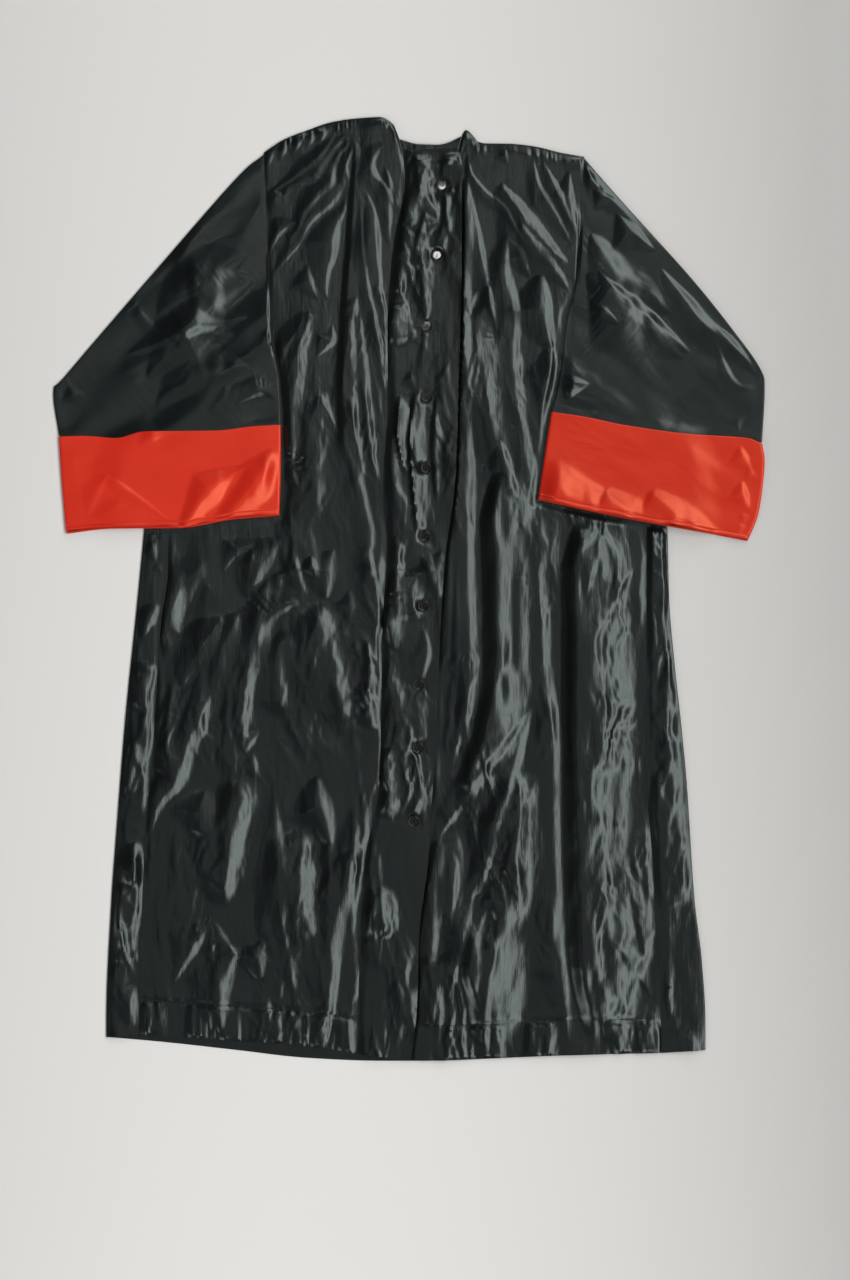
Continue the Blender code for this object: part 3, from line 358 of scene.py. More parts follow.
# %% Creases of the band, the sleeves and the cuffs
BAND_CREASES = (
    right("patch", (2, 560), (8, 525), (10, 492)),
    right("thick", (-6, 502), (12, 477), (28, 441)),
    right("small", (58, 602), (59, 592), (47, 577)),
    right("thin", (58, 603), (50, 586), (28, 589), (10, 588), (-2, 576)),
    right("small", (35, 573), (26, 562), (26, 546), (34, 531), (40, 516), (39, 505)),
    right("small", (39, 507), (26, 502), (10, 497)),
    right("small", (40, 505), (48, 497), (49, 480), (53, 451)),
    right("small", (37, 500), (25, 483), (23, 466)),
    right("patch", (9, 446), (-4, 428), (-9, 404)),
    right("thin", (69, 571), (72, 540), (76, 508), (77, 462)),
    right("patch", (-8, 396), (-5, 333)),
    right("small", (6, 364), (14, 337)),
    right("small", (2, 302), (10, 275)),
    right("pleat", (-8, 270), (-6, 222), (-3, 190), (2, 150)),
    right("pleat", (13, 276), (13, 215), (14, 170), (16, 120), (19, 66)),
    right("crisp", (39, 268), (39, 205), (39, 160), (40, 112)),
    right("patch", (16, 28), (13, -10), (20, -44)),
    right("small", (20, -48), (28, -87), (20, -122), (27, -160)),
    right("medium", (-17, 75), (-8, 26)),
    right("thick", (-26, -22), (-17, -84)),
    right("medium", (46, 54), (42, -15)),
    right("patch", (-24, -215), (-20, -319)),
    right("patch", (-30, -408), (-24, -484)),
)
RIGHT_STRIP_CREASES = (
    right("soft", (-365, -208), (-386, -291)),
    right("patch", (-373, -370), (-384, -413)),
    right("soft", (-387, -457), (-394, -522)),
    right("small", (-362, -486), (-358, -529)),
    right("soft", (-356, -545), (-372, -610)),
    right("thick", (-348, 68), (-350, 37)),
    right("small", (-348, 37), (-340, 23)),
    right("medium", (-344, -22), (-368, -70)),
    right("soft", (-348, -102), (-358, -139), (-371, -174)),
    right("soft", (-361, -346), (-364, -415)),
)
RIGHT_SLEEVE_CREASES = (
    right("haze", (-222, 462), (-262, 430), (-302, 402), (-350, 374)),
    right("haze", (-214, 428), (-256, 398), (-290, 366), (-318, 330)),
    right("medium", (-222, 376), (-262, 362), (-310, 350), (-360, 330), (-392, 322)),
    right("haze", (-240, 352), (-300, 328), (-362, 290)),
    right("thin", (-385, 402), (-356, 366), (-336, 342)),
    right("haze", (-262, 532), (-300, 486), (-352, 420)),
    right("small", (-372, 399), (-393, 378)),
    right("small", (-190, 346), (-206, 346)),
    right("small", (-181, 258), (-204, 268), (-241, 254)),
    right("small", (-448, 268), (-480, 254)),
    right("haze", (-220, 306), (-280, 284), (-350, 252)),
)
LEFT_SLEEVE_CREASES = (
    right("haze", (244, 436), (290, 404), (335, 364), (380, 318)),
    right("haze", (250, 492), (292, 452), (330, 420), (362, 380)),
    right("small", (242, 585), (263, 551)),
    right("small", (253, 553), (284, 537)),
    right("medium", (286, 519), (318, 489), (339, 468)),
    right("medium", (346, 444), (378, 408), (410, 370), (453, 333), (484, 292)),
    right("medium", (260, 440), (279, 422), (318, 392), (362, 353), (391, 323)),
    right("small", (249, 399), (271, 385), (290, 364)),
    right("small", (210, 295), (249, 282)),
    right("small", (206, 284), (238, 276)),
    right("small", (249, 247), (266, 236)),
    right("thin", (419, 364), (449, 344), (481, 302)),
    right("thin", (422, 344), (440, 302), (456, 282), (484, 277)),
    right("small", (442, 233), (463, 236)),
)
RIGHT_CUFF_CREASES = (
    right("shelf", (-150, 196), (-186, 152), (-225, 110), (-258, 70)),
    right("wedge", (-222, 170), (-254, 138), (-286, 106), (-318, 72)),
    right("small", (-412, 160), (-426, 134), (-444, 98)),
    right("thin", (-448, 170), (-405, 150), (-365, 122), (-325, 90)),
    right("small", (-336, 214), (-350, 206), (-372, 196)),
)
LEFT_CUFF_CREASES = (
    right("apron", (128, 214), (184, 170), (240, 137), (312, 96)),
    right("sheen", (268, 140), (304, 120), (328, 106), (356, 86)),
    right("sheen", (330, 138), (362, 119), (390, 101), (424, 76)),
    right("small", (467, 170), (482, 150)),
    right("small", (453, 106), (473, 99)),
    right("small", (451, 92), (467, 84)),
    right("small", (456, 199), (473, 164)),
    right("small", (459, 150), (470, 109)),
)
print("band:", len(BAND_CREASES), "creases, strip of the back:", len(RIGHT_STRIP_CREASES))
print("sleeves:", len(RIGHT_SLEEVE_CREASES) + len(LEFT_SLEEVE_CREASES), "creases")
print("cuffs:", len(RIGHT_CUFF_CREASES) + len(LEFT_CUFF_CREASES), "creases")

# %% [markdown]
# ## Lines, waves and slopes
# These helpers turn the tables into heights. A table is read on a smooth line that never overshoots
# its rows, a path is a smooth line through its points, and uneven waves come from a grid of random
# numbers with soft steps between them. Sculpting by hand could give such folds too, but then no
# crease could be measured or moved by a number.

# %% Reading lines and paths
PATH_SAMPLES = 121
POINTS_PER_STRETCH = 6


def ease(value):
    """A soft step from 0 at 0 to 1 at 1."""
    value = np.clip(value, 0.0, 1.0)
    return value * value * (3.0 - 2.0 * value)


def read_table(rows, at):
    """Reads a table of (place, value) rows at any place, on a smooth line with no overshoot."""
    place, value = np.array(sorted(rows), float).T
    step = np.diff(place)
    slope = np.diff(value) / step
    turn = np.zeros(len(place))
    turn[0], turn[-1] = slope[0], slope[-1]
    before, after = slope[:-1], slope[1:]
    rising = before * after > 0
    turn[1:-1][rising] = (2 * before * after)[rising] / (before + after)[rising]
    at = np.clip(at, place[0], place[-1])
    row = np.clip(np.searchsorted(place, at, side="right") - 1, 0, len(step) - 1)
    t = (at - place[row]) / step[row]
    start = (1 + 2 * t) * (1 - t) ** 2 * value[row] + t * (1 - t) ** 2 * step[row] * turn[row]
    end = t ** 2 * (3 - 2 * t) * value[row + 1] + t ** 2 * (t - 1) * step[row] * turn[row + 1]
    return start + end


def read_straight(rows, at):
    place, value = np.array(sorted(rows), float).T
    return np.interp(at, place, value)


def smooth_path(points, share):
    """Points at the given shares of a smooth line through some points."""
    points = np.array(points, float)
    padded = np.vstack([2 * points[0] - points[1], points, 2 * points[-1] - points[-2]])
    spans = len(points) - 1
    place = np.asarray(share, float) * spans
    span = np.clip(np.floor(place).astype(int), 0, spans - 1)
    t = (place - span)[..., None]
    a, b, c, d = (padded[span + k] for k in range(4))
    line = 2 * b + (c - a) * t + (2 * a - 5 * b + 4 * c - d) * t ** 2 + (3 * b - a - 3 * c + d) * t ** 3
    return line / 2


def even_path(points, share):
    """The same line, with the shares measured along its length."""
    fine = smooth_path(points, np.linspace(0, 1, PATH_SAMPLES))
    run = np.concatenate([[0.0], np.cumsum(np.hypot(*np.diff(fine, axis=0).T))])
    at = np.asarray(share, float) * run[-1]
    return np.stack([np.interp(at, run, fine[:, 0]), np.interp(at, run, fine[:, 1])], axis=-1)

print("the band's seam at mid height:", round(float(read_table(BAND_SEAM, 0.0)), 1), "mm from the middle")

# %% Uneven waves
def ripple(x, y, across, along, seed):
    """Soft uneven waves between -1 and 1, with bumps of the given sizes."""
    field = np.random.default_rng(seed).uniform(-1, 1, (64, 64))
    u, v = x / across + 1000, y / along + 1000
    column, row = np.floor(u).astype(int), np.floor(v).astype(int)
    s, t = ease(u - column), ease(v - row)

    def corner(k, j):
        return field[(row + j) % 64, (column + k) % 64]

    lower = corner(0, 0) * (1 - s) + corner(1, 0) * s
    upper = corner(0, 1) * (1 - s) + corner(1, 1) * s
    return lower * (1 - t) + upper * t


# %% Height of a crease
START_TAPER = 70.0
END_TAPER = 110.0
START_SHARE = 0.45
END_SHARE = 0.55
NARROWEST = 0.02
NARROWING = 0.8
SHARPEST = 0.05
END_BEND = 0.3
END_REACH = 3.0
UNEVEN = 0.16
UNEVEN_ACROSS = 14.0
UNEVEN_ALONG = 45.0
WIDEST_SHARE = 0.19
WIDER_IF_BLUNT = 0.22


def slope_share(across, width, bend):
    """1 above a slope and 0 below it, with a straight slope between two short bends."""
    upper = np.sqrt((across + width / 2) ** 2 + bend ** 2)
    lower = np.sqrt((across - width / 2) ** 2 + bend ** 2)
    return 0.5 - 0.5 * (upper - lower) / width


def crease_height(crease, x, y):
    """Height that one crease adds: a slope as steep all along, which narrows towards its ends."""
    kind = crease.kind
    line = smooth_path(crease.path, np.linspace(0, 1, POINTS_PER_STRETCH * len(crease.path)))
    start, step = line[:-1], np.diff(line, axis=0)
    size = np.hypot(*step.T)
    run = np.concatenate([[0.0], np.cumsum(size)])
    dx = x[:, None] - start[:, 0]
    dy = y[:, None] - start[:, 1]
    along = np.clip((dx * step[:, 0] + dy * step[:, 1]) / size ** 2, 0, 1)
    off_x = dx - along * step[:, 0]
    off_y = dy - along * step[:, 1]
    near = np.argmin(off_x ** 2 + off_y ** 2, axis=-1)[:, None]
    off_x, off_y, along = (np.take_along_axis(part, near, -1)[:, 0] for part in (off_x, off_y, along))
    near = near[:, 0]
    across = (-off_x * step[near, 1] + off_y * step[near, 0]) / size[near] * crease.looks
    past = np.sqrt(np.maximum(off_x ** 2 + off_y ** 2 - across ** 2, 0))
    length = run[-1]
    place = run[near] + along * size[near]
    start_taper, end_taper = min(START_TAPER, START_SHARE * length), min(END_TAPER, END_SHARE * length)
    taper = np.minimum(place / start_taper, 1) * np.minimum((length - place) / end_taper, 1)
    full_width = min(kind.width, (WIDEST_SHARE + WIDER_IF_BLUNT * kind.blunt) * length)
    width = full_width * (kind.blunt + (1 - kind.blunt) * np.maximum(taper, NARROWEST) ** NARROWING)
    fade = ease(taper / max(kind.blunt, SHARPEST))
    back = ease(1 + (across + width / 2) / (kind.tail * width))
    uneven = 1 + UNEVEN * ripple(x, y, UNEVEN_ACROSS, UNEVEN_ALONG, len(crease.path))
    bend = kind.bend * (END_BEND + (1 - END_BEND) * taper)
    height = fade * kind.slope * width * slope_share(across, width, bend) * back
    return height * uneven * np.exp(-(past / END_REACH) ** 2)


def relief(creases, x, y):
    """Height of all of a piece's creases at each place."""
    total = np.zeros(np.shape(x))
    for crease in creases:
        path = np.array(crease.path, float)
        reach = (2 + crease.kind.tail) * crease.kind.width
        low, high = path.min(axis=0) - reach, path.max(axis=0) + reach
        near = (x > low[0]) & (x < high[0]) & (y > low[1]) & (y < high[1])
        if near.any():
            total[near] += crease_height(crease, x[near], y[near])
    return total


# %% [markdown]
# ## Crumple
# Between the main creases the satin has hundreds of small ones, left by packing. Nobody would place
# those by hand, so they are scattered with a fixed seed: short slopes that run mostly down the robe,
# of all sizes, more of them low down and on the loose left side than on the taut shoulders.
# A gentle uneven ripple under everything keeps the flats from looking pressed.

# %% Crumple
Zone = namedtuple("Zone", "x y reach_x reach_y strength")
Fold = namedtuple("Fold", "across along lean height")

# A wave's bumps have a size across and along the cloth, and a fixed seed makes them come out alike
# each time.
Wave = namedtuple("Wave", "height across along")
CRUMPLE = (Fold(34, 170, 0, 6.0), Fold(18, 85, 11, 3.6), Fold(10, 44, -14, 2.0), Fold(6, 20, 22, 0.9))
CREST_MEAN = 0.62
LONG_SWAY, SHORT_SWAY, SWAY_DOWN = Wave(12, 55, 95), Wave(3, 16, 36), Wave(16, 60, 70)
BURST = Wave(1, 48, 95)
BURST_BASE, BURST_SPAN, QUIET = 0.45, 1.1, 0.25
LONG_WAVE, SHORT_WAVE = Wave(0.9, 46, 170), Wave(0.35, 19, 60)
SLACK = 1.1
SLACK_BEND = 0.8
HIGHEST = 17.5
HIGHEST_ON_CUFF = 13.5
PRESSED_BEND = 3.0


def wave(shape, x, y, seed):
    """A ripple of a given height."""
    return shape.height * ripple(x, y, shape.across, shape.along, seed)


def turned(x, y, degrees):
    """Places across and down the cloth when its folds lean by some degrees."""
    turn = math.radians(degrees)
    return math.cos(turn) * x + math.sin(turn) * y, math.cos(turn) * y - math.sin(turn) * x


def crumple(x, y, seed, lean=0.0):
    """Sharp crests with straight slopes between them, in four sizes, mostly down the robe."""
    bent_x = x + wave(LONG_SWAY, x, y, seed) + wave(SHORT_SWAY, x, y, seed + 1)
    bent_y = y + wave(SWAY_DOWN, x, y, seed + 2)
    total = np.zeros(np.shape(x))
    for number, fold in enumerate(CRUMPLE):
        over, down = turned(bent_x, bent_y, fold.lean + lean)
        crests = np.abs(ripple(over, down, fold.across, fold.along, seed + 3 + number))
        total += fold.height * (CREST_MEAN - crests)
    bursts = ease((wave(BURST, bent_x, bent_y, seed + 9) + BURST_BASE) / BURST_SPAN)
    return total * (QUIET + bursts)


def strength(base, zones, x, y):
    """How crumpled the cloth is at each place: a base, and zones with more or less."""
    total = np.full(np.shape(x), float(base))
    for zone in zones:
        away = ((x - zone.x) / zone.reach_x) ** 2 + ((y - zone.y) / zone.reach_y) ** 2
        total += (zone.strength - base) * np.exp(-away ** 2)
    return np.maximum(total, 0)


def waves(x, y, seed, lean=0.0):
    """The cloth's own unevenness: long waves down the piece with shorter ones on them."""
    over, down = turned(x, y, lean)
    return wave(LONG_WAVE, over, down, seed) + wave(SHORT_WAVE, over, down, seed + 1)


def slack(height):
    """Stops hollows softly a little below the cloth's level, where it meets the layer under it."""
    above = height + SLACK
    return (above + np.sqrt(above ** 2 + SLACK_BEND ** 2)) / 2 - SLACK


def pressed(height, most=HIGHEST):
    """Stops crests softly, because the robe was packed flat and no fold stands high."""
    return (height + most - np.sqrt((height - most) ** 2 + PRESSED_BEND ** 2)) / 2


print("crumple: folds of", [fold.across for fold in CRUMPLE], "mm across")


# %% Puckers along stitches
Row = namedtuple("Row", "y start end")
PUCKER_ROWS = (Row(-101, 34, 101), Row(-213, 37, 83), Row(-240, 252, 330), Row(-320, 250, 300))
PUCKER_WIDTH = 4.5
PUCKER_REACH = 11.0
PUCKER_HEIGHT = 2.0
ROW_WANDER = Wave(4, 20, 90)
HEM_DEPTH = 48.0
HEM_FADE = 7.0
HEM_PUCKER_HEIGHT = 4.0
OVER_HEM_HEIGHT = 1.4
OVER_HEM_REACH = 22.0
HEM_SWAY = Wave(7, 30, 40)
NARROW_PUCKER, BROAD_PUCKER = Wave(0.6, 9, 70), Wave(0.4, 17, 60)
GATHER_HEIGHT = 2.0
GATHER_REACH = 24.0
GATHER_WIDTH = 6.0
SOFT_END = 20.0
BUTTON_PUCKER_HEIGHT = 1.6
BUTTON_PUCKER_START = 8.0
BUTTON_PUCKER_REACH = 19.0


def hem_puckers(x, above_hem, seed):
    """The stitched hem: upright puckers between its edge and its stitches, and a few above them."""
    inside = ease(above_hem / HEM_FADE + 0.2) * ease((HEM_DEPTH - above_hem) / HEM_FADE)
    over = ease((above_hem - HEM_DEPTH) / HEM_FADE)
    over = over * ease((HEM_DEPTH + OVER_HEM_REACH - above_hem) / SOFT_END)
    bent = x + wave(HEM_SWAY, x, above_hem, seed + 2)
    narrow = np.abs(wave(NARROW_PUCKER, bent, above_hem, seed))
    broad = np.abs(wave(BROAD_PUCKER, bent, above_hem, seed + 3))
    pleat = 1 - narrow - broad
    patchy = ease(ripple(x, above_hem, 36, 300, seed + 1) + 0.6)
    return pleat * (HEM_PUCKER_HEIGHT * inside * patchy + OVER_HEM_HEIGHT * over)


def shoulder_puckers(x, below_top, seed):
    """Small gathers where the front is eased into the shoulder seam."""
    close = ease(below_top / 3) * ease((GATHER_REACH - below_top) / SOFT_END)
    gathers = 1 - np.abs(ripple(x, below_top, GATHER_WIDTH, 60, seed))
    patchy = ease(ripple(x, below_top, 30, 300, seed + 1) + 0.8)
    return GATHER_HEIGHT * close * gathers * patchy


def pucker_rows(x, y):
    """Short rows of small upright puckers, where a pulled thread gathers the left front."""
    total = 0
    for number, row in enumerate(PUCKER_ROWS):
        inside = ease((x - row.start) / PUCKER_REACH) * ease((row.end - x) / PUCKER_REACH)
        wander = wave(ROW_WANDER, x, x * 0, 215 + number)
        close = np.exp(-((y - row.y - wander) / PUCKER_REACH) ** 2)
        puckers = 1 - np.abs(ripple(x, y, PUCKER_WIDTH, 60, 210 + number))
        total = total + PUCKER_HEIGHT * inside * close * puckers
    return total


def button_puckers(x, y):
    """Small folds that spread from each button's thread and buttonhole."""
    total = np.zeros(np.shape(x))
    for number, button in enumerate(BUTTONS):
        away = np.hypot(x - button.x, y - button.y)
        turn = np.arctan2(y - button.y, x - button.x)
        ray = 1 - np.abs(ripple(turn * 6, away, 1.7, 40, 230 + number))
        near = ease((away - BUTTON_PUCKER_START) / 7) * np.exp(-(away / BUTTON_PUCKER_REACH) ** 2)
        total += BUTTON_PUCKER_HEIGHT * ray * near
    return total


# %% [markdown]
# ## Where one layer lies on another
# A sleeve lies on the body's underarm corner, so the body's creases die away under it and the sleeve
# is lifted over the corner. The same holds for the left front under the buttonhole band.

# %% The two arms and what they cover
Arm = namedtuple(
    "Arm", "to_body armpit side outer inner cuff_outer cuff_inner cuff_top cuff_mouth folds cuff_folds"
)
ARMS = {
    "right": Arm(
        1, ARMPIT_RIGHT, SIDE_RIGHT, SLEEVE_RIGHT_OUTER, SLEEVE_RIGHT_INNER, CUFF_RIGHT_OUTER,
        CUFF_RIGHT_INNER, CUFF_RIGHT_TOP, CUFF_RIGHT_MOUTH, RIGHT_SLEEVE_CREASES, RIGHT_CUFF_CREASES,
    ),
    "left": Arm(
        -1, ARMPIT_LEFT, SIDE_LEFT, SLEEVE_LEFT_OUTER, SLEEVE_LEFT_INNER, CUFF_LEFT_OUTER,
        CUFF_LEFT_INNER, CUFF_LEFT_TOP, CUFF_LEFT_MOUTH, LEFT_SLEEVE_CREASES, LEFT_CUFF_CREASES,
    ),
}


def covered(arm, x, y):
    """1 where a sleeve and its cuff lie on the body, 0 clear of them."""
    inner = read_table([(py, px) for px, py in arm.inner + arm.cuff_inner[1:]], y)
    across = ease(1 - ((x - inner) * arm.to_body - SLEEVE_MARGIN) / COVER_FADE)
    below = ease(1 - (read_table(arm.cuff_mouth, x) - MOUTH_MARGIN - y) / COVER_FADE)
    above = ease(1 - (y - arm.inner[0][1] - MOUTH_MARGIN) / COVER_FADE)
    return across * below * above


def distance_to(path, x, y):
    """Distance from each place to a path of straight stretches."""
    path = np.array(path, float)
    start, step = path[:-1], np.diff(path, axis=0)
    dx = x[..., None] - start[:, 0]
    dy = y[..., None] - start[:, 1]
    along = np.clip((dx * step[:, 0] + dy * step[:, 1]) / (step ** 2).sum(axis=1), 0, 1)
    return np.sqrt((dx - along * step[:, 0]) ** 2 + (dy - along * step[:, 1]) ** 2).min(axis=-1)


def body_lift(arm, x, y):
    """How far a sleeve is lifted where it lies over the body's underarm corner."""
    corner = [(row.x, row.y) for row in arm.armpit + arm.side[:3]]
    edge = read_table(arm.armpit + arm.side[1:], y)
    inside = ((x - edge) * arm.to_body > 0) & (y < arm.armpit[0].y)
    away = np.where(inside, 0.0, distance_to(corner, x, y))
    return SLEEVE_LIFT * (1 - ease((away - LIFT_FULL) / (LIFT_NONE - LIFT_FULL)))

print("creases of the sleeves:", {side: len(arm.folds) for side, arm in ARMS.items()})

# %% [markdown]
# ## From edges to cloth
# A pattern piece is known by its edges, and the cloth between them has to be filled in. It could be
# one large face cut up evenly, but then its rows wouldn't run along the seams. So each panel is a
# grid whose outermost rows and columns are the piece's own edges. Its cloth goes round the free edges
# and a little way under, so that no edge looks like cut paper.

# %% Edges of the body's panels
ROWS_ABOVE = 12
ROWS_BELOW = 16
ARMHOLE_ROWS_RIGHT = 7
ARMHOLE_ROWS_LEFT = 5

# Each of the rows counted above is laid as this many fine ones.
FINE = 20


def body_edge(armhole, armpit, rows, y):
    """Place across of a body panel's side: armhole, armpit, then its seam or side fold."""
    upper = read_straight(armhole, y)
    middle = read_table(armpit, y)
    lower = read_table(rows, y)
    return np.where(y > armpit[0].y, upper, np.where(y > UNDERARM, middle, lower))


def back_edge_right(y):
    return body_edge(ARMHOLE_RIGHT, ARMPIT_RIGHT, SIDE_RIGHT, y)


def back_edge_left(y):
    return body_edge(ARMHOLE_LEFT, ARMPIT_LEFT, SIDE_LEFT, y)


def front_edge_right(y):
    return body_edge(ARMHOLE_RIGHT, ARMPIT_RIGHT, SEAM_RIGHT, y)


def front_edge_left(y):
    return body_edge(ARMHOLE_LEFT, ARMPIT_LEFT, SEAM_LEFT, y)


def side_rows(armhole_rows, armpit_y):
    """Heights of the rows down a side, with one at the armpit and one at the underarm."""

    def read(top, bottom):
        at = FINE * np.array([0, armhole_rows, ROWS_ABOVE, ROWS_ABOVE + ROWS_BELOW])
        return np.interp(np.arange(at[-1] + 1), at, [top, armpit_y, UNDERARM, bottom])

    return read


right_side_rows = side_rows(ARMHOLE_ROWS_RIGHT, ARMPIT_RIGHT[0].y)
left_side_rows = side_rows(ARMHOLE_ROWS_LEFT, ARMPIT_LEFT[0].y)


def middle_rows(top, bottom):
    at = FINE * np.array([0, ROWS_ABOVE, ROWS_ABOVE + ROWS_BELOW])
    return np.interp(np.arange(at[-1] + 1), at, [top, UNDERARM, bottom])


def patch(u, v, left_side, right_side, top, bottom):
    """Places inside four edges: two sides run down the rows, top and bottom across them."""
    u, v = u[..., None], v[..., None]
    sides = (1 - u) * left_side + u * right_side
    ends = (1 - v) * top + v * bottom
    upper = (1 - u) * left_side[0] + u * right_side[0]
    lower = (1 - u) * left_side[-1] + u * right_side[-1]
    place = sides + ends - (1 - v) * upper - v * lower
    return place[..., 0], place[..., 1]


def body_patch(left_edge, left_rows, right_edge, right_rows, top_x, top_rows, hem_x, hem_rows):
    """The grid of places of a body panel, with a column for each place in its top line."""
    top = np.stack([top_x, read_table(top_rows, top_x)], axis=-1)
    hem = np.stack([hem_x, read_table(hem_rows, hem_x)], axis=-1)
    left_y = left_rows(top[0, 1], hem[0, 1])
    right_y = right_rows(top[-1, 1], hem[-1, 1])
    left_side = np.stack([left_edge(left_y), left_y], axis=-1)
    right_side = np.stack([right_edge(right_y), right_y], axis=-1)
    left_side[0], left_side[-1], right_side[0], right_side[-1] = top[0], hem[0], top[-1], hem[-1]
    share = np.arange(len(left_y)) / (len(left_y) - 1)
    u, v = np.meshgrid((top_x - top_x[0]) / (top_x[-1] - top_x[0]), share)
    return patch(u, v, left_side[:, None], right_side[:, None], top[None], hem[None])

print("rows of places down a side:", len(right_side_rows(SHOULDER_RIGHT[0].y, HEM_BACK[0].y)))

# %% Cloth from a grid of places
robe = bpy.data.collections.new("Lawyer robe")
bpy.context.scene.collection.children.link(robe)
TURN = ((0.0, 0.35), (0.4, 0.8), (6.0, 1.0))
WELD_DISTANCE = 0.001
RIM_ANGLE = 55.0


def turn_under(grids, sides):
    """Adds a narrow turning to some sides of a grid, where the cloth goes round its edge and under."""
    for side in sides:
        x, y, z = (grid.T if side in ("left", "right") else grid for grid in grids)
        first, second = (0, 3) if side in ("left", "top") else (-1, -4)
        run_x, run_y = x[second] - x[first], y[second] - y[first]
        size = np.hypot(run_x, run_y)
        rows = []
        for inset, drop in TURN:
            rows.append((x[first] + inset * run_x / size, y[first] + inset * run_y / size, z[first] - drop))
        if side in ("left", "top"):
            rows.reverse()
        extra = [np.array([row[k] for row in rows]) for k in range(3)]
        if side in ("left", "top"):
            x, y, z = (np.vstack([more, grid]) for more, grid in zip(extra, (x, y, z)))
        else:
            x, y, z = (np.vstack([grid, more]) for more, grid in zip(extra, (x, y, z)))
        grids = tuple(grid.T if side in ("left", "right") else grid for grid in (x, y, z))
    return grids


def make_cloth(name, x, y, z, finish, replaces, tube=False, absent=None, wall=0.0):
    """A cloth piece from rows of places, riding on the robe in place of its plain solid."""
    rows, columns = x.shape
    points = np.stack([x, y, z], axis=-1).reshape(-1, 3) * MM
    index = np.arange(rows * columns).reshape(rows, columns)
    corners = [index[:-1, :-1], index[1:, :-1], index[1:, 1:], index[:-1, 1:]]
    faces = np.stack(corners, axis=-1).reshape(-1, 4)
    if absent is not None:
        faces = faces[~absent.reshape(-1)[faces].any(axis=1)]
    mesh = bpy.data.meshes.new(name)
    mesh.from_pydata(points.tolist(), [], faces.tolist())
    work = bmesh.new()
    work.from_mesh(mesh)
    loose = [vert for vert in work.verts if not vert.link_faces]
    bmesh.ops.delete(work, geom=loose, context="VERTS")
    if tube:
        bmesh.ops.remove_doubles(work, verts=work.verts, dist=WELD_DISTANCE * MM)
    work.to_mesh(mesh)
    work.free()
    mesh.materials.append(finish)
    mesh.shade_smooth()
    mesh.set_sharp_from_angle(angle=math.radians(RIM_ANGLE))
    piece = bpy.data.objects.new(name, mesh)
    robe.objects.link(piece)
    if wall:
        shell = piece.modifiers.new("Wall", "SOLIDIFY")
        shell.thickness = wall * MM
        shell.offset = 0.0
    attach(piece, "root")
    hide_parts(replaces)
    triangles = 2 * len(mesh.polygons) * (2 if wall else 1)
    print(f"{name}: {len(mesh.polygons)} faces, {triangles} triangles")
    return piece


def flat_area(piece):
    return sum(face.area for face in piece.data.polygons)


# %% [markdown]
# ## Finishes
# Satin's long floats make it smooth one way: it is dark where it lies flat and almost mirrors a lamp
# where it turns. That comes from a dark dye, a fairly low roughness and a clean slope, not from
# paint. The weave is far too fine to see, so it is only a faint grain in the roughness and the bump.
# The small `Tone` class lets the maths of a finish be read as ordinary sums.

# %% A socket that can be added and multiplied
class Tone:
    """A value from a node, which adds Math nodes when it is used in a sum."""

    def __init__(self, finish, socket):
        self.finish = finish
        self.socket = socket

    def _math(self, operation, first, second):
        return self.finish.node("Math", {"operation": operation}, {0: first, 1: second})

    def __add__(self, other):
        return self._math("ADD", self, other)

    __radd__ = __add__

    def __sub__(self, other):
        return self._math("SUBTRACT", self, other)

    def __rsub__(self, other):
        return self._math("SUBTRACT", other, self)

    def __mul__(self, other):
        return self._math("MULTIPLY", self, other)

    __rmul__ = __mul__


class Finish:
    """A material in the making: one Principled shader and the nodes that vary it."""

    def __init__(self, name, **constants):
        self.lean = 0.0
        self.material = bpy.data.materials.new(name)
        self.material.use_nodes = True
        self.tree = self.material.node_tree
        self.shader = self.tree.nodes["Principled BSDF"]
        for key, value in constants.items():
            self.shader.inputs[key.replace("_", " ")].default_value = value

    def node(self, kind, settings, inputs, output=0):
        """Adds any node: its settings come first, then the values or links of its sockets."""
        made = self.tree.nodes.new("ShaderNode" + kind)
        for key, value in settings.items():
            setattr(made, key, value)
        for key, value in inputs.items():
            self.feed(made.inputs[key], value)
        return Tone(self, made.outputs[output])

    def feed(self, socket, value):
        if isinstance(value, Tone):
            self.tree.links.new(value.socket, socket)
        else:
            socket.default_value = value

    def place(self, stretch):
        """The cloth's own coordinates in millimetres, divided by the size of what is wanted."""
        where = self.node("TexCoord", {}, {}, output="Object")
        turn = {0: where, "Axis": (0, 0, 1), "Angle": self.lean}
        where = self.node("VectorRotate", {"rotation_type": "AXIS_ANGLE"}, turn)
        scale = tuple(1 / (size * MM) for size in stretch)
        return self.node("VectorMath", {"operation": "MULTIPLY"}, {0: where, 1: scale})

    def grain(self, stretch, detail=3.0):
        """Soft noise from 0 to 1, with spots of the given sizes in millimetres."""
        settings = {"noise_dimensions": "3D"}
        inputs = {"Vector": self.place(stretch), "Scale": 1.0, "Detail": detail}
        return self.node("TexNoise", settings, inputs)

    def blend(self, share, first, second):
        inputs = {"Factor": share, 6: first, 7: second}
        return self.node("Mix", {"data_type": "RGBA"}, inputs, output=2)

    def set(self, socket, value):
        self.feed(self.shader.inputs[socket], value)


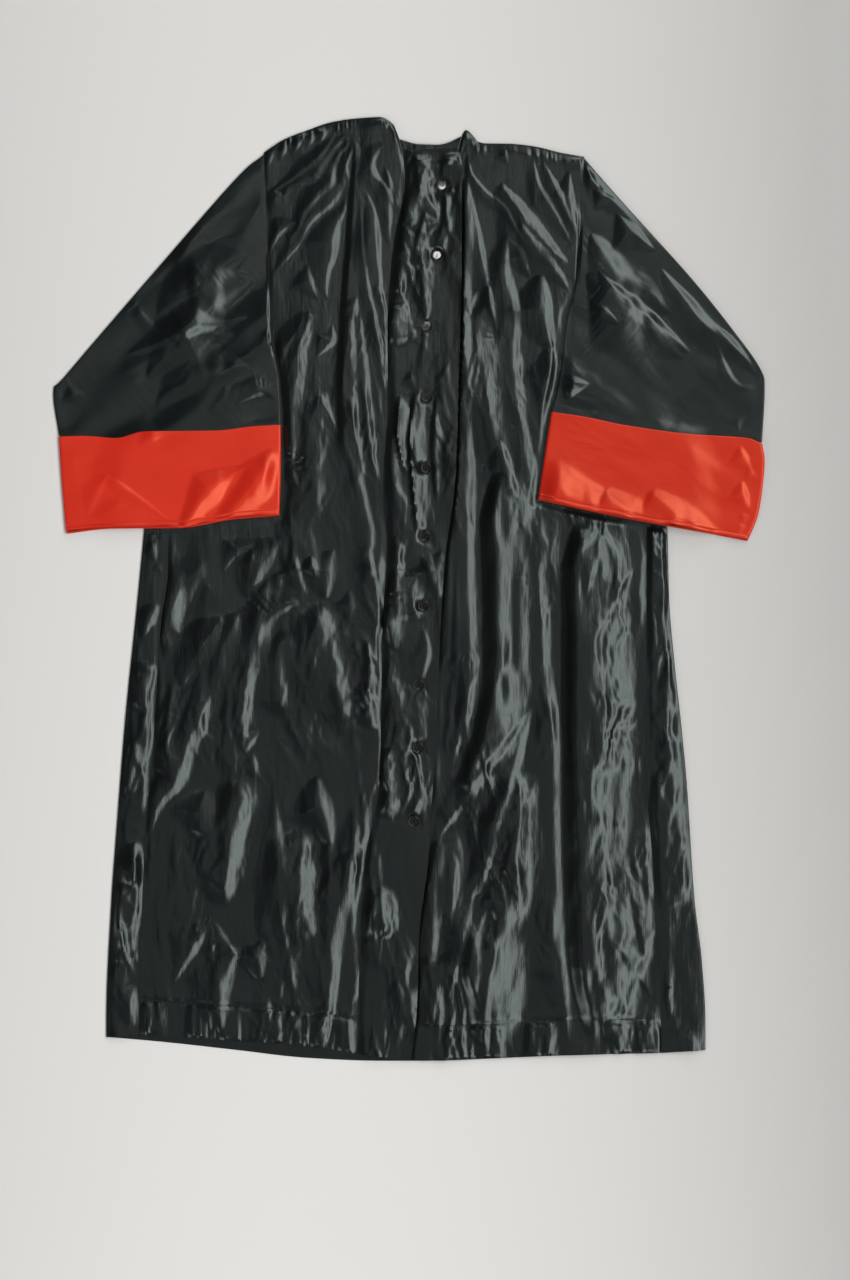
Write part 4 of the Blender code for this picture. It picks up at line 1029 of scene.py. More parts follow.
# %% Satin, black and red
Satin = namedtuple("Satin", "deep light roughness index specular tint")
BLACK = Satin(
    deep=(0.002, 0.0026, 0.0027, 1), light=(0.0056, 0.0068, 0.0071, 1),
    roughness=0.295, index=1.5, specular=0.64, tint=(0.86, 1.0, 0.96, 1),
)
RED = Satin(
    deep=(0.60, 0.020, 0.010, 1), light=(0.74, 0.031, 0.0155, 1),
    roughness=0.33, index=1.68, specular=0.9, tint=(1.0, 0.31, 0.16, 1),
)
DRIFT_SIZE, FLOATS_SIZE = (38, 90, 38), (0.7, 6.0, 0.7)
WRINKLE_SIZE, STREAK_SIZE = (9, 34, 9), (2.6, 46, 2.6)
DRIFT_ROUGHNESS, FLOATS_ROUGHNESS = 0.08, 0.05
WRINKLE_HEIGHT, STREAK_HEIGHT, FLOATS_HEIGHT = 1.4, 0.3, 0.05
BUMP_STRENGTH = 0.5
SLEEVE_CRINKLE, CUFF_CRINKLE = 0.5, 0.3


def satin(name, dye, lean, crinkle):
    """Satin whose floats run down its piece, which leans on the floor by some degrees."""
    cloth = Finish(
        name, IOR=dye.index, Specular_IOR_Level=dye.specular, Specular_Tint=dye.tint, Metallic=0.0,
    )
    cloth.lean = math.radians(lean)
    drift = cloth.grain(DRIFT_SIZE)
    floats = cloth.grain(FLOATS_SIZE, detail=2.0)
    cloth.set("Base Color", cloth.blend(drift, dye.deep, dye.light))
    average = (DRIFT_ROUGHNESS + FLOATS_ROUGHNESS) / 2
    cloth.set("Roughness", dye.roughness + drift * DRIFT_ROUGHNESS + floats * FLOATS_ROUGHNESS - average)
    wrinkle = cloth.grain(WRINKLE_SIZE, detail=5.0)
    streak = cloth.grain(STREAK_SIZE, detail=3.0)
    height = wrinkle * (WRINKLE_HEIGHT * crinkle) + streak * (STREAK_HEIGHT * crinkle)
    height = height + floats * FLOATS_HEIGHT
    bump = cloth.node("Bump", {}, {"Strength": BUMP_STRENGTH, "Distance": 1.0 * MM, "Height": height})
    cloth.set("Normal", bump)
    return cloth.material


BODY_SATIN = satin("robe black satin", BLACK, 0, 1.0)
SLEEVE_SATIN = {
    "right": satin("right sleeve satin", BLACK, -42, SLEEVE_CRINKLE),
    "left": satin("left sleeve satin", BLACK, 42, SLEEVE_CRINKLE),
}
# Painted shade: the left cuff takes a darker copy of the same red dye. Both cuffs are one cloth, and only
# the light on them differs.
RED_WITH_PAINTED_SHADE = RED._replace(deep=(0.50, 0.017, 0.008, 1), light=(0.62, 0.024, 0.012, 1))
CUFF_SATIN = {
    "right": satin("right cuff satin", RED, -82, CUFF_CRINKLE),
    "left": satin("left cuff satin", RED_WITH_PAINTED_SHADE, 80, CUFF_CRINKLE),
}
print("satins:", [finish.name for finish in (BODY_SATIN, *SLEEVE_SATIN.values(), *CUFF_SATIN.values())])

# %% [markdown]
# ## Fronts
# Each front is one flat panel from shoulder to hem. It could be a sheet that a simulation lets fall,
# but the creases would then fall where they like. So the panel's outline is filled with a grid of
# places between its four edges, and each place gets its height from the creases, the crumple and the
# puckers. Near a seam, and under a sleeve or the band, that height fades out.

# %% Fronts
FRONT_CRUMPLE = 0.5
FRONT_WAVES = 1.6
SEAM_SWAY = Wave(0.9, 34, 42)
RIGHT_FRONT_COLUMNS = 132
LEFT_FRONT_COLUMNS = 144
HIDDEN_COLUMNS = 18
RIGHT_FRONT_ZONES = (
    Zone(-120, 450, 90, 160, 0.12), Zone(-110, 60, 60, 160, 0.45), Zone(-260, 0, 60, 140, 0.3),
    Zone(-190, -120, 70, 110, 0.45), Zone(-270, -480, 60, 120, 0.6), Zone(-110, -420, 60, 160, 0.55),
    Zone(-50, -140, 16, 70, 1.1),
)
LEFT_FRONT_ZONES = (
    Zone(150, 450, 90, 160, 0.12), Zone(144, -40, 30, 190, 0.28), Zone(272, -200, 40, 330, 0.95),
    Zone(100, -430, 60, 150, 0.8), Zone(210, -250, 12, 330, 0.1),
)


def seam_fade(x, y, *distances):
    """0 on a seam and 1 a little way off it, which is farther in some places than in others."""
    reach = SEAM_FADE + SEAM_FADE_SWING * ease(0.5 + wave(SEAM_SWAY, x, y, 81))
    fade = 1.0
    for distance in distances:
        fade = fade * ease(distance / reach)
    return fade


def shoulder_drop(distance):
    """How far the front comes down onto the back at the shoulder."""
    return SHOULDER_DROP * (1 - ease(distance / SHOULDER_FADE))


def make_right_front():
    half_gap = SEAM_GAP / 2
    share = np.linspace(0, 1, RIGHT_FRONT_COLUMNS + 1)
    top_x = np.interp(share, [0, 1], [SHOULDER_RIGHT[0].x + half_gap, SHOULDER_RIGHT[-1].x - half_gap])
    hem_x = np.interp(share, [0, 1], [HEM_RIGHT_FRONT[0].x + half_gap, HEM_RIGHT_FRONT[-1].x - half_gap])
    x, y = body_patch(
        lambda at: front_edge_right(at) + half_gap, right_side_rows,
        lambda at: read_table(BAND_SEAM, at) - half_gap, middle_rows,
        top_x, SHOULDER_RIGHT, hem_x, HEM_RIGHT_FRONT,
    )
    below_top = read_table(SHOULDER_RIGHT, x) - y
    fade = seam_fade(x, y, x - front_edge_right(y), read_table(BAND_SEAM, y) - x, below_top + 2)
    rough = strength(FRONT_CRUMPLE, RIGHT_FRONT_ZONES, x, y) * crumple(x, y, 31)
    above_hem = y - read_table(HEM_RIGHT_FRONT, x)
    folds = relief(RIGHT_FRONT_CREASES, x, y) + slack(FRONT_WAVES * waves(x, y, 3) + rough)
    folds += hem_puckers(x, above_hem, 201) + shoulder_puckers(x, below_top, 221)
    folds = pressed(folds) * fade * (1 - covered(ARMS["right"], x, y))
    z = FRONT_LEVEL + folds - shoulder_drop(below_top)
    grids = turn_under((x, y, z), ("left", "right", "bottom"))
    return make_cloth("right_front_cloth", *grids, BODY_SATIN, "front_right")


def make_left_front():
    half_gap = SEAM_GAP / 2
    share = np.linspace(0, 1, LEFT_FRONT_COLUMNS + 1)
    hidden = HIDDEN_COLUMNS / LEFT_FRONT_COLUMNS
    top_line = (BAND_TOP[0],) + SHOULDER_LEFT
    top_ends = BAND_TOP[0].x + BAND_UNDERLAP, BAND_TOP[-1].x, SHOULDER_LEFT[-1].x - half_gap
    hem_ends = BAND_HEM[0].x + BAND_UNDERLAP, BAND_HEM[-1].x, HEM_LEFT_FRONT[-1].x - half_gap
    x, y = body_patch(
        lambda at: read_table(BAND_SEAM, at) + BAND_UNDERLAP, middle_rows,
        lambda at: front_edge_left(at) - half_gap, left_side_rows,
        np.interp(share, [0, hidden, 1], top_ends), top_line,
        np.interp(share, [0, hidden, 1], hem_ends), HEM_LEFT_FRONT,
    )
    below_top = read_table(top_line, x) - y
    fade = seam_fade(x, y, front_edge_left(y) - x, below_top)
    clear_of_band = ease((x - read_table(BAND_FREE_EDGE, y) - BAND_MARGIN) / BAND_FADE)
    rough = strength(FRONT_CRUMPLE, LEFT_FRONT_ZONES, x, y) * crumple(x, y, 51)
    above_hem = y - read_table(HEM_LEFT_FRONT, x)
    folds = relief(LEFT_FRONT_CREASES, x, y) + slack(FRONT_WAVES * waves(x, y, 5) + rough)
    folds += hem_puckers(x, above_hem, 205) + shoulder_puckers(x, below_top, 224) + pucker_rows(x, y)
    folds = pressed(folds) * fade * clear_of_band * (1 - covered(ARMS["left"], x, y))
    z = FRONT_LEVEL + folds - shoulder_drop(below_top)
    grids = turn_under((x, y, z), ("right", "bottom"))
    return make_cloth("left_front_cloth", *grids, BODY_SATIN, "front_left")


right_front = make_right_front()
left_front = make_left_front()

# %% [markdown]
# ## Buttonhole band
# The band is a separate strip that laps over the left front and carries the buttons. Drawn as a line
# on the front it would cast no shadow along its free edge, so it is a cloth of its own. It is made
# like the fronts, but its folds come down at each button, because the thread pulls the cloth there.

# %% Buttonhole band
BAND_COLUMNS = 38
BAND_CRUMPLE = 0.8
BUTTON_CLEAR = 7.8
BUTTON_FADE = 0.6
BUTTON_PULL = 27.0
BAND_ZONES = (Zone(8, 185, 34, 75, 0.2), Zone(-4, 365, 22, 36, 0.35))


def clear_of_buttons(x, y):
    """0 under a button, where the band is held flat, and 1 away from it."""
    clear = np.ones(np.shape(x))
    for button in BUTTONS:
        away = np.hypot((x - button.x) / BUTTON_CLEAR, (y - button.y) / BUTTON_CLEAR)
        clear = clear * ease((away - 1) / BUTTON_FADE)
    return clear


def band_folds(x, y):
    return relief(BAND_CREASES, x, y) + slack(strength(BAND_CRUMPLE, BAND_ZONES, x, y) * crumple(x, y, 71))


def pulled_down(folds, x, y):
    """Folds that come down to each button's back, and slope on past it."""
    for button, rise in zip(BUTTONS, band_folds(*np.array(BUTTONS, float).T)):
        away = np.hypot(x - button.x, y - button.y)
        folds = folds - rise * np.exp(-(away / BUTTON_PULL) ** 2)
    return slack(folds)


def make_band():
    half_gap = SEAM_GAP / 2
    x, y = body_patch(
        lambda at: read_table(BAND_SEAM, at) + half_gap, middle_rows,
        lambda at: read_table(BAND_FREE_EDGE, at), middle_rows,
        np.linspace(BAND_TOP[0].x + half_gap, BAND_TOP[-1].x, BAND_COLUMNS + 1), BAND_TOP,
        np.linspace(BAND_HEM[0].x + half_gap, BAND_HEM[-1].x, BAND_COLUMNS + 1), BAND_HEM,
    )
    from_seam = x - read_table(BAND_SEAM, y)
    fade = seam_fade(x, y, from_seam, (NECK_Y - y) / 2) * clear_of_buttons(x, y)
    folds = pulled_down(band_folds(x, y), x, y) * fade + button_puckers(x, y)
    z = FRONT_LEVEL + (BAND_LEVEL - FRONT_LEVEL) * ease(from_seam / BAND_RISE) + folds
    grids = turn_under((x, y, z), ("left", "right", "bottom"))
    return make_cloth("buttonhole_band", *grids, BODY_SATIN, "front_band")


band = make_band()

# %% [markdown]
# ## Back
# The back is one wide panel that wraps round both sides and ends in a strip on the front. One grid
# goes all the way: flat underneath, round each side fold and back over the top as the strip. Made of
# separate sheets, it would show a gap along the side folds.

# %% Back
STRIP_COLUMNS = 16
STRIP_SEAM_FADE = 3.6
STRIP_SIDE_FADE = 3.2
STRIP_SWAY = Wave(0.5, 60, 50)
FOLD_STEPS = 6
BACK_COLUMNS = 48


def make_back():
    """The back, which wraps round both sides and ends in a strip on the front of the robe."""
    half_gap = SEAM_GAP / 2
    radius = (FRONT_LEVEL - BACK_LEVEL) / 2
    inset = EDGE_INSET + radius
    top_x = np.linspace(SHOULDER_RIGHT[0].x + half_gap, SHOULDER_LEFT[-1].x - half_gap, BACK_COLUMNS + 1)
    x, y = body_patch(
        lambda at: back_edge_right(at) + np.where(at > UNDERARM, half_gap, inset), right_side_rows,
        lambda at: back_edge_left(at) - np.where(at > UNDERARM, half_gap, inset), left_side_rows,
        top_x, SHOULDER_RIGHT + SHOULDER_LEFT,
        np.linspace(HEM_BACK[0].x + inset, HEM_BACK[-1].x - inset, BACK_COLUMNS + 1), HEM_BACK,
    )
    above_underarm = np.arange(len(x)) < ROWS_ABOVE * FINE
    right_y, left_y = y[:, 0], y[:, -1]
    right_seam_y = right_side_rows(SHOULDER_RIGHT[0].y, HEM_RIGHT_FRONT[0].y)
    left_seam_y = left_side_rows(SHOULDER_LEFT[-1].y, HEM_LEFT_FRONT[-1].y)
    columns = {}
    for side, seam, seam_y, edge, edge_y, out in (
        ("right", front_edge_right, right_seam_y, back_edge_right, right_y, -1),
        ("left", front_edge_left, left_seam_y, back_edge_left, left_y, 1),
    ):
        near_x, far_x = seam(seam_y) + out * half_gap, edge(edge_y) - out * inset
        strip = []
        for share in np.linspace(0, 1, STRIP_COLUMNS + 1):
            place_x = near_x + share * (far_x - near_x)
            place_y = seam_y + share * (edge_y - seam_y)
            strip.append([place_x, place_y, None, share])
        for angle in np.linspace(90, -90, FOLD_STEPS + 1)[1:-1]:
            turn = math.radians(angle)
            fold_x = edge(edge_y) - out * (inset - radius * math.cos(turn))
            strip.append([fold_x, edge_y, BACK_LEVEL + radius * (1 + math.sin(turn)), None])
        columns[side] = strip
    creases = {"right": RIGHT_STRIP_CREASES, "left": ()}
    for side, arm in ARMS.items():
        for column in columns[side]:
            if column[2] is None:
                place_x, place_y, share = column[0], column[1], column[3]
                swing = 1 + wave(STRIP_SWAY, place_x, place_y, 95)
                fade = ease(share * STRIP_SEAM_FADE * swing) * ease((1 - share) * STRIP_SIDE_FADE * swing)
                fade = fade * (1 - covered(arm, place_x, place_y))
                folds = relief(creases[side], place_x, place_y) + slack(crumple(place_x, place_y, 91))
                column[2] = FRONT_LEVEL + folds * fade
    middle = [(x[:, k], y[:, k], np.full(len(x), BACK_LEVEL), None) for k in range(BACK_COLUMNS + 1)]
    order = columns["right"] + middle + columns["left"][::-1]
    grids = [np.stack([np.broadcast_to(column[k], len(x)) for column in order], axis=1) for k in range(3)]
    outside = np.zeros(grids[0].shape, bool)
    outside[above_underarm, : len(columns["right"])] = True
    outside[above_underarm, -len(columns["left"]):] = True
    return make_cloth("back_cloth", *grids, BODY_SATIN, "back_panel", absent=outside)


back = make_back()

# %% [markdown]
# ## Sleeves and cuffs
# A sleeve that lies flat is a tube pressed together. Two sheets, one over the other, would show a gap
# along the edges. So a ring of places goes round the tube, and rows of that ring run from the armhole
# to the end, which lies inside the cuff. The cuff is such a tube too, and a modifier gives its cloth
# a real thickness, because its open mouth shows the edges.

# %% Sleeves and cuffs
SLEEVE_LEAN = {"right": -50.0, "left": 50.0}
CUFF_LEAN = {"right": -62.0, "left": 62.0}
SLEEVE_STRENGTH = 0.18
CUFF_STRENGTH = 0.13
SLEEVE_WAVES = 2.4
CUFF_WAVES = 2.0
FRONT_STEPS = 124
UNDER_STEPS = 30
ROUND_STEPS = 6
SLEEVE_ROWS = 156
CUFF_ROWS = 90
CUFF_LENGTH = 132.0
CUFF_HEM = 6.0
HEM_WELT = 0.8
HEM_WELT_FADE = 2.0
HEM_GROOVE = 1.7
HIDDEN_ROWS = 18
TUBE_FADE = 12
MOUTH_RISE = 2.6
MOUTH_CURL = 6
MOUTH_WAVE = Wave(2.2, 26, 400)


def tube_ring(edge, radius):
    """The places round a flattened tube: share across, distance from the edge, and layer."""
    near_turn = np.radians(np.linspace(-90, 90, ROUND_STEPS + 1))
    inset = edge + radius
    near = [(0.0, inset - radius * math.cos(turn), 0.5 + 0.5 * math.sin(turn)) for turn in near_turn]
    front = [(k / FRONT_STEPS, inset * (1 - 2 * k / FRONT_STEPS), 1.0) for k in range(1, FRONT_STEPS)]
    far = [(1.0, -offset, layer) for _, offset, layer in reversed(near)]
    under = [(1 - k / UNDER_STEPS, inset * (2 * k / UNDER_STEPS - 1), 0.0) for k in range(1, UNDER_STEPS)]
    ring = near + front + far + under
    return np.array(ring + ring[:1])


def tube_patch(ring, rows, outer, inner, top, bottom):
    """The grid of places round a flattened tube, from its outer edge to its inner one."""
    shares = np.arange(rows + 1) / rows
    outer, inner = even_path(outer, shares), even_path(inner, shares)
    width = np.hypot(*(inner - outer).T)[:, None]
    u = ring[None, :, 0] + ring[None, :, 1] / width
    v = np.repeat(shares[:, None], len(ring), axis=1)
    x, y = patch(u, v, outer[:, None], inner[:, None], top(u), bottom(u))
    return x, y, u


def line_between(rows, start, end):
    """A function from a share across to the place on a table's line."""

    def read(share):
        x = start + (end - start) * share
        return np.stack([x, read_table(rows, x)], axis=-1)

    return read


def armhole_line(arm, edge):
    """A function from a share down an armhole to the place just outside its seam."""
    top, bottom = arm.outer[0][1], arm.inner[0][1]

    def read(share):
        y = top + (bottom - top) * share
        return np.stack([edge(y) - arm.to_body * SEAM_GAP, y], axis=-1)

    return read


def edge_fade(u):
    """0 on a tube's two edges and 1 a little way in."""
    return ease(np.minimum(u, 1 - u) * TUBE_FADE)


def make_sleeve(name, side, edge, seed, replaces):
    """A sleeve: a flattened tube from the armhole, whose end lies inside the cuff."""
    arm = ARMS[side]
    ring = tube_ring(EDGE_INSET, (FRONT_LEVEL - BACK_LEVEL) / 2)
    inside_inset = EDGE_INSET + WALL + 2 * SEAM_GAP + WALL / 2
    inside_ring = tube_ring(inside_inset, (SLEEVE_IN_CUFF_FRONT - SLEEVE_IN_CUFF_BACK) / 2)
    end = line_between(arm.cuff_top, arm.outer[-1][0], arm.inner[-1][0])
    mouth = line_between(arm.cuff_mouth, arm.cuff_outer[-1][0], arm.cuff_inner[-1][0])
    free = tube_patch(ring, SLEEVE_ROWS, arm.outer, arm.inner, armhole_line(arm, edge), end)
    hidden = tube_patch(inside_ring, HIDDEN_ROWS, arm.cuff_outer, arm.cuff_inner, end, mouth)
    hidden[1][-1] += MOUTH_RECESS
    x, y, u = (np.vstack([above[:-1], below]) for above, below in zip(free, hidden))
    in_cuff = 1 - ease((y - read_table(arm.cuff_top, x)) / CUFF_STEP)
    in_cuff[SLEEVE_ROWS:] = 1.0
    far = SEAM_FADE + SEAM_FADE_SWING
    from_seam = np.where(y > arm.inner[0][1], (edge(y) - x) * arm.to_body, far)
    rough = SLEEVE_STRENGTH * crumple(x, y, seed, SLEEVE_LEAN[side])
    height = relief(arm.folds, x, y) + slack(SLEEVE_WAVES * waves(x, y, seed, SLEEVE_LEAN[side]) + rough)
    folds = pressed(height) * edge_fade(u) * seam_fade(x, y, from_seam) * (1 - in_cuff)
    front = FRONT_LEVEL + (SLEEVE_IN_CUFF_FRONT - FRONT_LEVEL) * in_cuff + folds
    under = BACK_LEVEL + (SLEEVE_IN_CUFF_BACK - BACK_LEVEL) * in_cuff
    z = under + (front - under) * ring[None, :, 2] + body_lift(arm, x, y)
    return make_cloth(name, x, y, z, SLEEVE_SATIN[side], replaces, tube=True)


def make_cuff(name, side, seed, replaces):
    """A cuff: a wide band round the end of the sleeve."""
    arm = ARMS[side]
    ring = tube_ring(EDGE_INSET, (CUFF_FRONT_LEVEL - BACK_LEVEL) / 2)
    x, y, u = tube_patch(
        ring, CUFF_ROWS, arm.cuff_outer, arm.cuff_inner,
        line_between(arm.cuff_top, arm.cuff_outer[0][0], arm.cuff_inner[0][0]),
        line_between(arm.cuff_mouth, arm.cuff_outer[-1][0], arm.cuff_inner[-1][0]),
    )
    layer = ring[None, :, 2]
    share = np.linspace(0, 1, CUFF_ROWS + 1)[:, None]
    near_mouth = share ** MOUTH_CURL
    above_mouth = (1 - share) * CUFF_LENGTH
    welt = HEM_WELT * ease((CUFF_HEM - above_mouth) / HEM_WELT_FADE)
    hem = welt - np.exp(-((above_mouth - CUFF_HEM) / HEM_GROOVE) ** 2)
    y = y + layer * near_mouth * (MOUTH_RISE + wave(MOUTH_WAVE, x, y, seed + 20))
    rough = CUFF_STRENGTH * crumple(x, y, seed, CUFF_LEAN[side])
    height = relief(arm.cuff_folds, x, y) + slack(CUFF_WAVES * waves(x, y, seed, CUFF_LEAN[side]) + rough)
    front = CUFF_FRONT_LEVEL + pressed(height, HIGHEST_ON_CUFF) * edge_fade(u) + hem
    z = BACK_LEVEL + (front - BACK_LEVEL) * layer + body_lift(arm, x, y)
    return make_cloth(name, x, y, z, CUFF_SATIN[side], replaces, tube=True, wall=WALL)


sleeve_right = make_sleeve("right_sleeve_cloth", "right", front_edge_right, 110, "sleeve_right")
sleeve_left = make_sleeve("left_sleeve_cloth", "left", front_edge_left, 130, "sleeve_left")
cuff_right = make_cuff("right_cuff_cloth", "right", 150, "cuff_right")
cuff_left = make_cuff("left_cuff_cloth", "left", 170, "cuff_left")

# %% [markdown]
# ## Neckband
# A narrow binding is folded over the neck edge and drawn up in small gathers. A flat strip would end
# in a sharp line there, so it is a thin tube like the sleeves, which rolls over the edge. Its gathers
# are a fine ripple on the upper side.

# %% Neckband
NECKBAND_GATHER, NECKBAND_SWAY = Wave(1, 4.2, 60), Wave(0.6, 13, 90)
NECKBAND_COLUMNS = 150
NECKBAND_SKIP = 10
NECKBAND_WAVE = 0.35
NECKBAND_EDGE = (Line(-14.5, 620),) + NECKBAND_TOP[1:-1] + (Line(72, 624),)
NECKBAND_FOLD = ((0.0, 0.0), (0.35, 0.7), (1.2, 1.0))
NECKBAND_ROWS = 6


def make_neckband():
    """The neckband: a narrow binding folded over the neck edge, drawn up in small gathers."""
    radius = (FRONT_LEVEL - BACK_LEVEL) / 2
    share = np.linspace(0, 1, NECKBAND_COLUMNS + 1)
    turns = np.radians(np.linspace(0, 180, ROUND_STEPS + 1))[1:-1]
    under = share[::-NECKBAND_SKIP]
    across = np.concatenate([share, np.ones(len(turns)), under, np.zeros(len(turns)), share[:1]])
    out = np.concatenate([share * 0, np.sin(turns), under * 0, -np.sin(turns), share[:1] * 0])
    up = np.concatenate([share * 0 + 1, np.cos(turns), under * 0 - 1, -np.cos(turns), share[:1] + 1])
    left_end = [(row.y, row.x + 2 * SEAM_GAP) for row in SHOULDER_RIGHT[-3:]]
    right_end = [(row.y, row.x - 2 * SEAM_GAP) for row in SHOULDER_LEFT[:2]]
    first, last = NECKBAND_EDGE[0].x, NECKBAND_EDGE[-1].x
    top = read_table(NECKBAND_EDGE, first + across * (last - first))
    bottom = NECK_Y + 2 * SEAM_GAP
    rows = [(top - inset, thickness) for inset, thickness in NECKBAND_FOLD]
    start = rows[-1][0]
    rows += [(start + step * (bottom - start), 1.0) for step in np.linspace(0, 1, NECKBAND_ROWS)[1:]]
    y = np.stack([place for place, _ in rows])
    thickness = np.array([share_of_wall for _, share_of_wall in rows])[:, None]
    low, high = read_table(left_end, y) + radius, read_table(right_end, y) - radius
    x = low + across * (high - low) + radius * out
    gathers = NECKBAND_WAVE * (wave(NECKBAND_GATHER, x, y, 61) + wave(NECKBAND_SWAY, x, y, 62))
    z = BACK_LEVEL + radius + (radius * up + gathers * (up > 0)) * thickness
    return make_cloth("neckband_binding", x, y, z, BODY_SATIN, "neckband", tube=True)


neckband = make_neckband()

# %% [markdown]
# ## Buttons
# A moulded button is round, so its profile is turned about its axis with a modifier, and two cylinders
# cut its holes. Modelled face by face it would take longer and be less round. One mesh serves all ten
# buttons, and each is turned a little differently, because no two are sewn on alike.

# %% Button shape and finish
BUTTON_SHARP = 35.0
Turn = namedtuple("Turn", "radius height")
BUTTON_FACE = 6.3
BUTTON_CROWN = 0.034
BUTTON_THICKNESS = 2.1
FACE_RINGS = 5
BUTTON_RIM = (
    Turn(6.5, 2.2), Turn(6.7, 2.42), Turn(7.0, 2.5), Turn(7.3, 2.3), Turn(7.5, 1.8),
    Turn(7.5, 1.2), Turn(7.2, 0.4), Turn(6.6, 0.0), Turn(0, 0.0),
)
BUTTON_STEPS = 44
BUTTON_HOLE_RADIUS = 0.85
BUTTON_HOLE_SPACING = 3.2
BUTTON_HOLE_SIDES = 18
BUTTON_CUTTER_DEPTH = 20.0
BUTTON_WELD = 0.01
BUTTON_TURNS = (78, 82, 96, 70, 104, 88, 95, 76, 90, 86)
MOULDED, SCUFFED = (0.003, 0.003, 0.0034, 1), (0.006, 0.0055, 0.005, 1)
SCUFF_SIZE = (1.2, 1.2, 1.2)
POLISH, SCUFF_ROUGHNESS, SCUFF_STRENGTH = 0.06, 0.08, 0.08


def gloss(name):
    """The finish of the moulded buttons: black, polished, with faint scuffs."""
    shell = Finish(name, Specular_IOR_Level=0.45, Metallic=0.0, Coat_Weight=0.15, Coat_Roughness=0.04)
    scuffs = shell.grain(SCUFF_SIZE, detail=5.0)
    shell.set("Base Color", shell.blend(scuffs, MOULDED, SCUFFED))
    shell.set("Roughness", POLISH + scuffs * SCUFF_ROUGHNESS)
    bump = shell.node("Bump", {}, {"Strength": SCUFF_STRENGTH, "Distance": 0.1 * MM, "Height": scuffs})
    shell.set("Normal", bump)
    return shell.material


BUTTON_BLACK = gloss("button black")


def turned_button():
    """One button, turned from its profile, with two holes cut through it."""
    face = []
    for share in np.linspace(0, 1, FACE_RINGS + 1):
        face.append(Turn(BUTTON_FACE * share, BUTTON_THICKNESS + BUTTON_CROWN * (1 - share ** 2)))
    profile = tuple(face) + BUTTON_RIM
    points = [(turn.radius * MM, 0, turn.height * MM) for turn in profile]
    outline = bpy.data.meshes.new("button_profile")
    outline.from_pydata(points, [(k, k + 1) for k in range(len(points) - 1)], [])
    disc = bpy.data.objects.new("button_pattern", outline)
    robe.objects.link(disc)
    screw = disc.modifiers.new("Turn", "SCREW")
    screw.steps = screw.render_steps = BUTTON_STEPS
    screw.use_merge_vertices = True
    screw.merge_threshold = BUTTON_WELD * MM
    cutters = []
    for sign in (-1, 1):
        bore = bmesh.new()
        radius = BUTTON_HOLE_RADIUS * MM
        bmesh.ops.create_cone(
            bore, cap_ends=True, segments=BUTTON_HOLE_SIDES, depth=BUTTON_CUTTER_DEPTH * MM,
            radius1=radius, radius2=radius,
        )
        bore_mesh = bpy.data.meshes.new("button_hole")
        bore.to_mesh(bore_mesh)
        bore.free()
        cutter = bpy.data.objects.new("button_hole", bore_mesh)
        cutter.location.x = sign * BUTTON_HOLE_SPACING / 2 * MM
        robe.objects.link(cutter)
        cutters.append(cutter)
        cut = disc.modifiers.new("Hole", "BOOLEAN")
        cut.operation = "DIFFERENCE"
        cut.object = cutter
    view = bpy.context.evaluated_depsgraph_get()
    mesh = bpy.data.meshes.new_from_object(disc.evaluated_get(view))
    for helper in cutters + [disc]:
        bpy.data.objects.remove(helper)
    mesh.materials.clear()
    mesh.materials.append(BUTTON_BLACK)
    mesh.shade_smooth()
    mesh.set_sharp_from_angle(angle=math.radians(BUTTON_SHARP))
    return mesh


button_mesh = turned_button()
for number, (button, turn) in enumerate(zip(BUTTONS, BUTTON_TURNS), start=1):
    piece = bpy.data.objects.new(f"sewn_button_{number:02d}", button_mesh)
    piece.location = (button.x * MM, button.y * MM, BUTTON_LEVEL * MM)
    piece.rotation_euler.z = math.radians(turn)
    robe.objects.link(piece)
    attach(piece, "root")
    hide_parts(f"button_{number:02d}")

# %% [markdown]
# ## Thread
# Each button hangs on a few turns of thread between its two holes. Its buttonhole lies beside it, a
# slit edged with close stitches. A row of stitches holds the hem, and another the band's seam.
# They are all one kind of thing, a short bar of thread between two places on the cloth, so one
# function lays them and joins each family into one mesh.

# %% Thread and stitches
THREAD_RADIUS = 0.28
THREAD_SIDES = 6
STITCH_LENGTH = 2.4
STITCH_PITCH = 3.4
STITCH_SUNK = 0.12
THREAD_TAPER = ((0.0, 0.35), (0.18, 1.0), (0.82, 1.0), (1.0, 0.35))
THREAD_DARK, THREAD_LIGHT = (0.003, 0.003, 0.0035, 1), (0.009, 0.0095, 0.010, 1)
TWIST_SIZE = (0.3, 0.3, 0.3)
Bar = namedtuple("Bar", "start end")


def thread_finish():
    thread = Finish("black thread", Roughness=0.6, Specular_IOR_Level=0.15)
    twist = thread.grain(TWIST_SIZE)
    thread.set("Base Color", thread.blend(twist, THREAD_DARK, THREAD_LIGHT))
    return thread.material


THREAD = thread_finish()


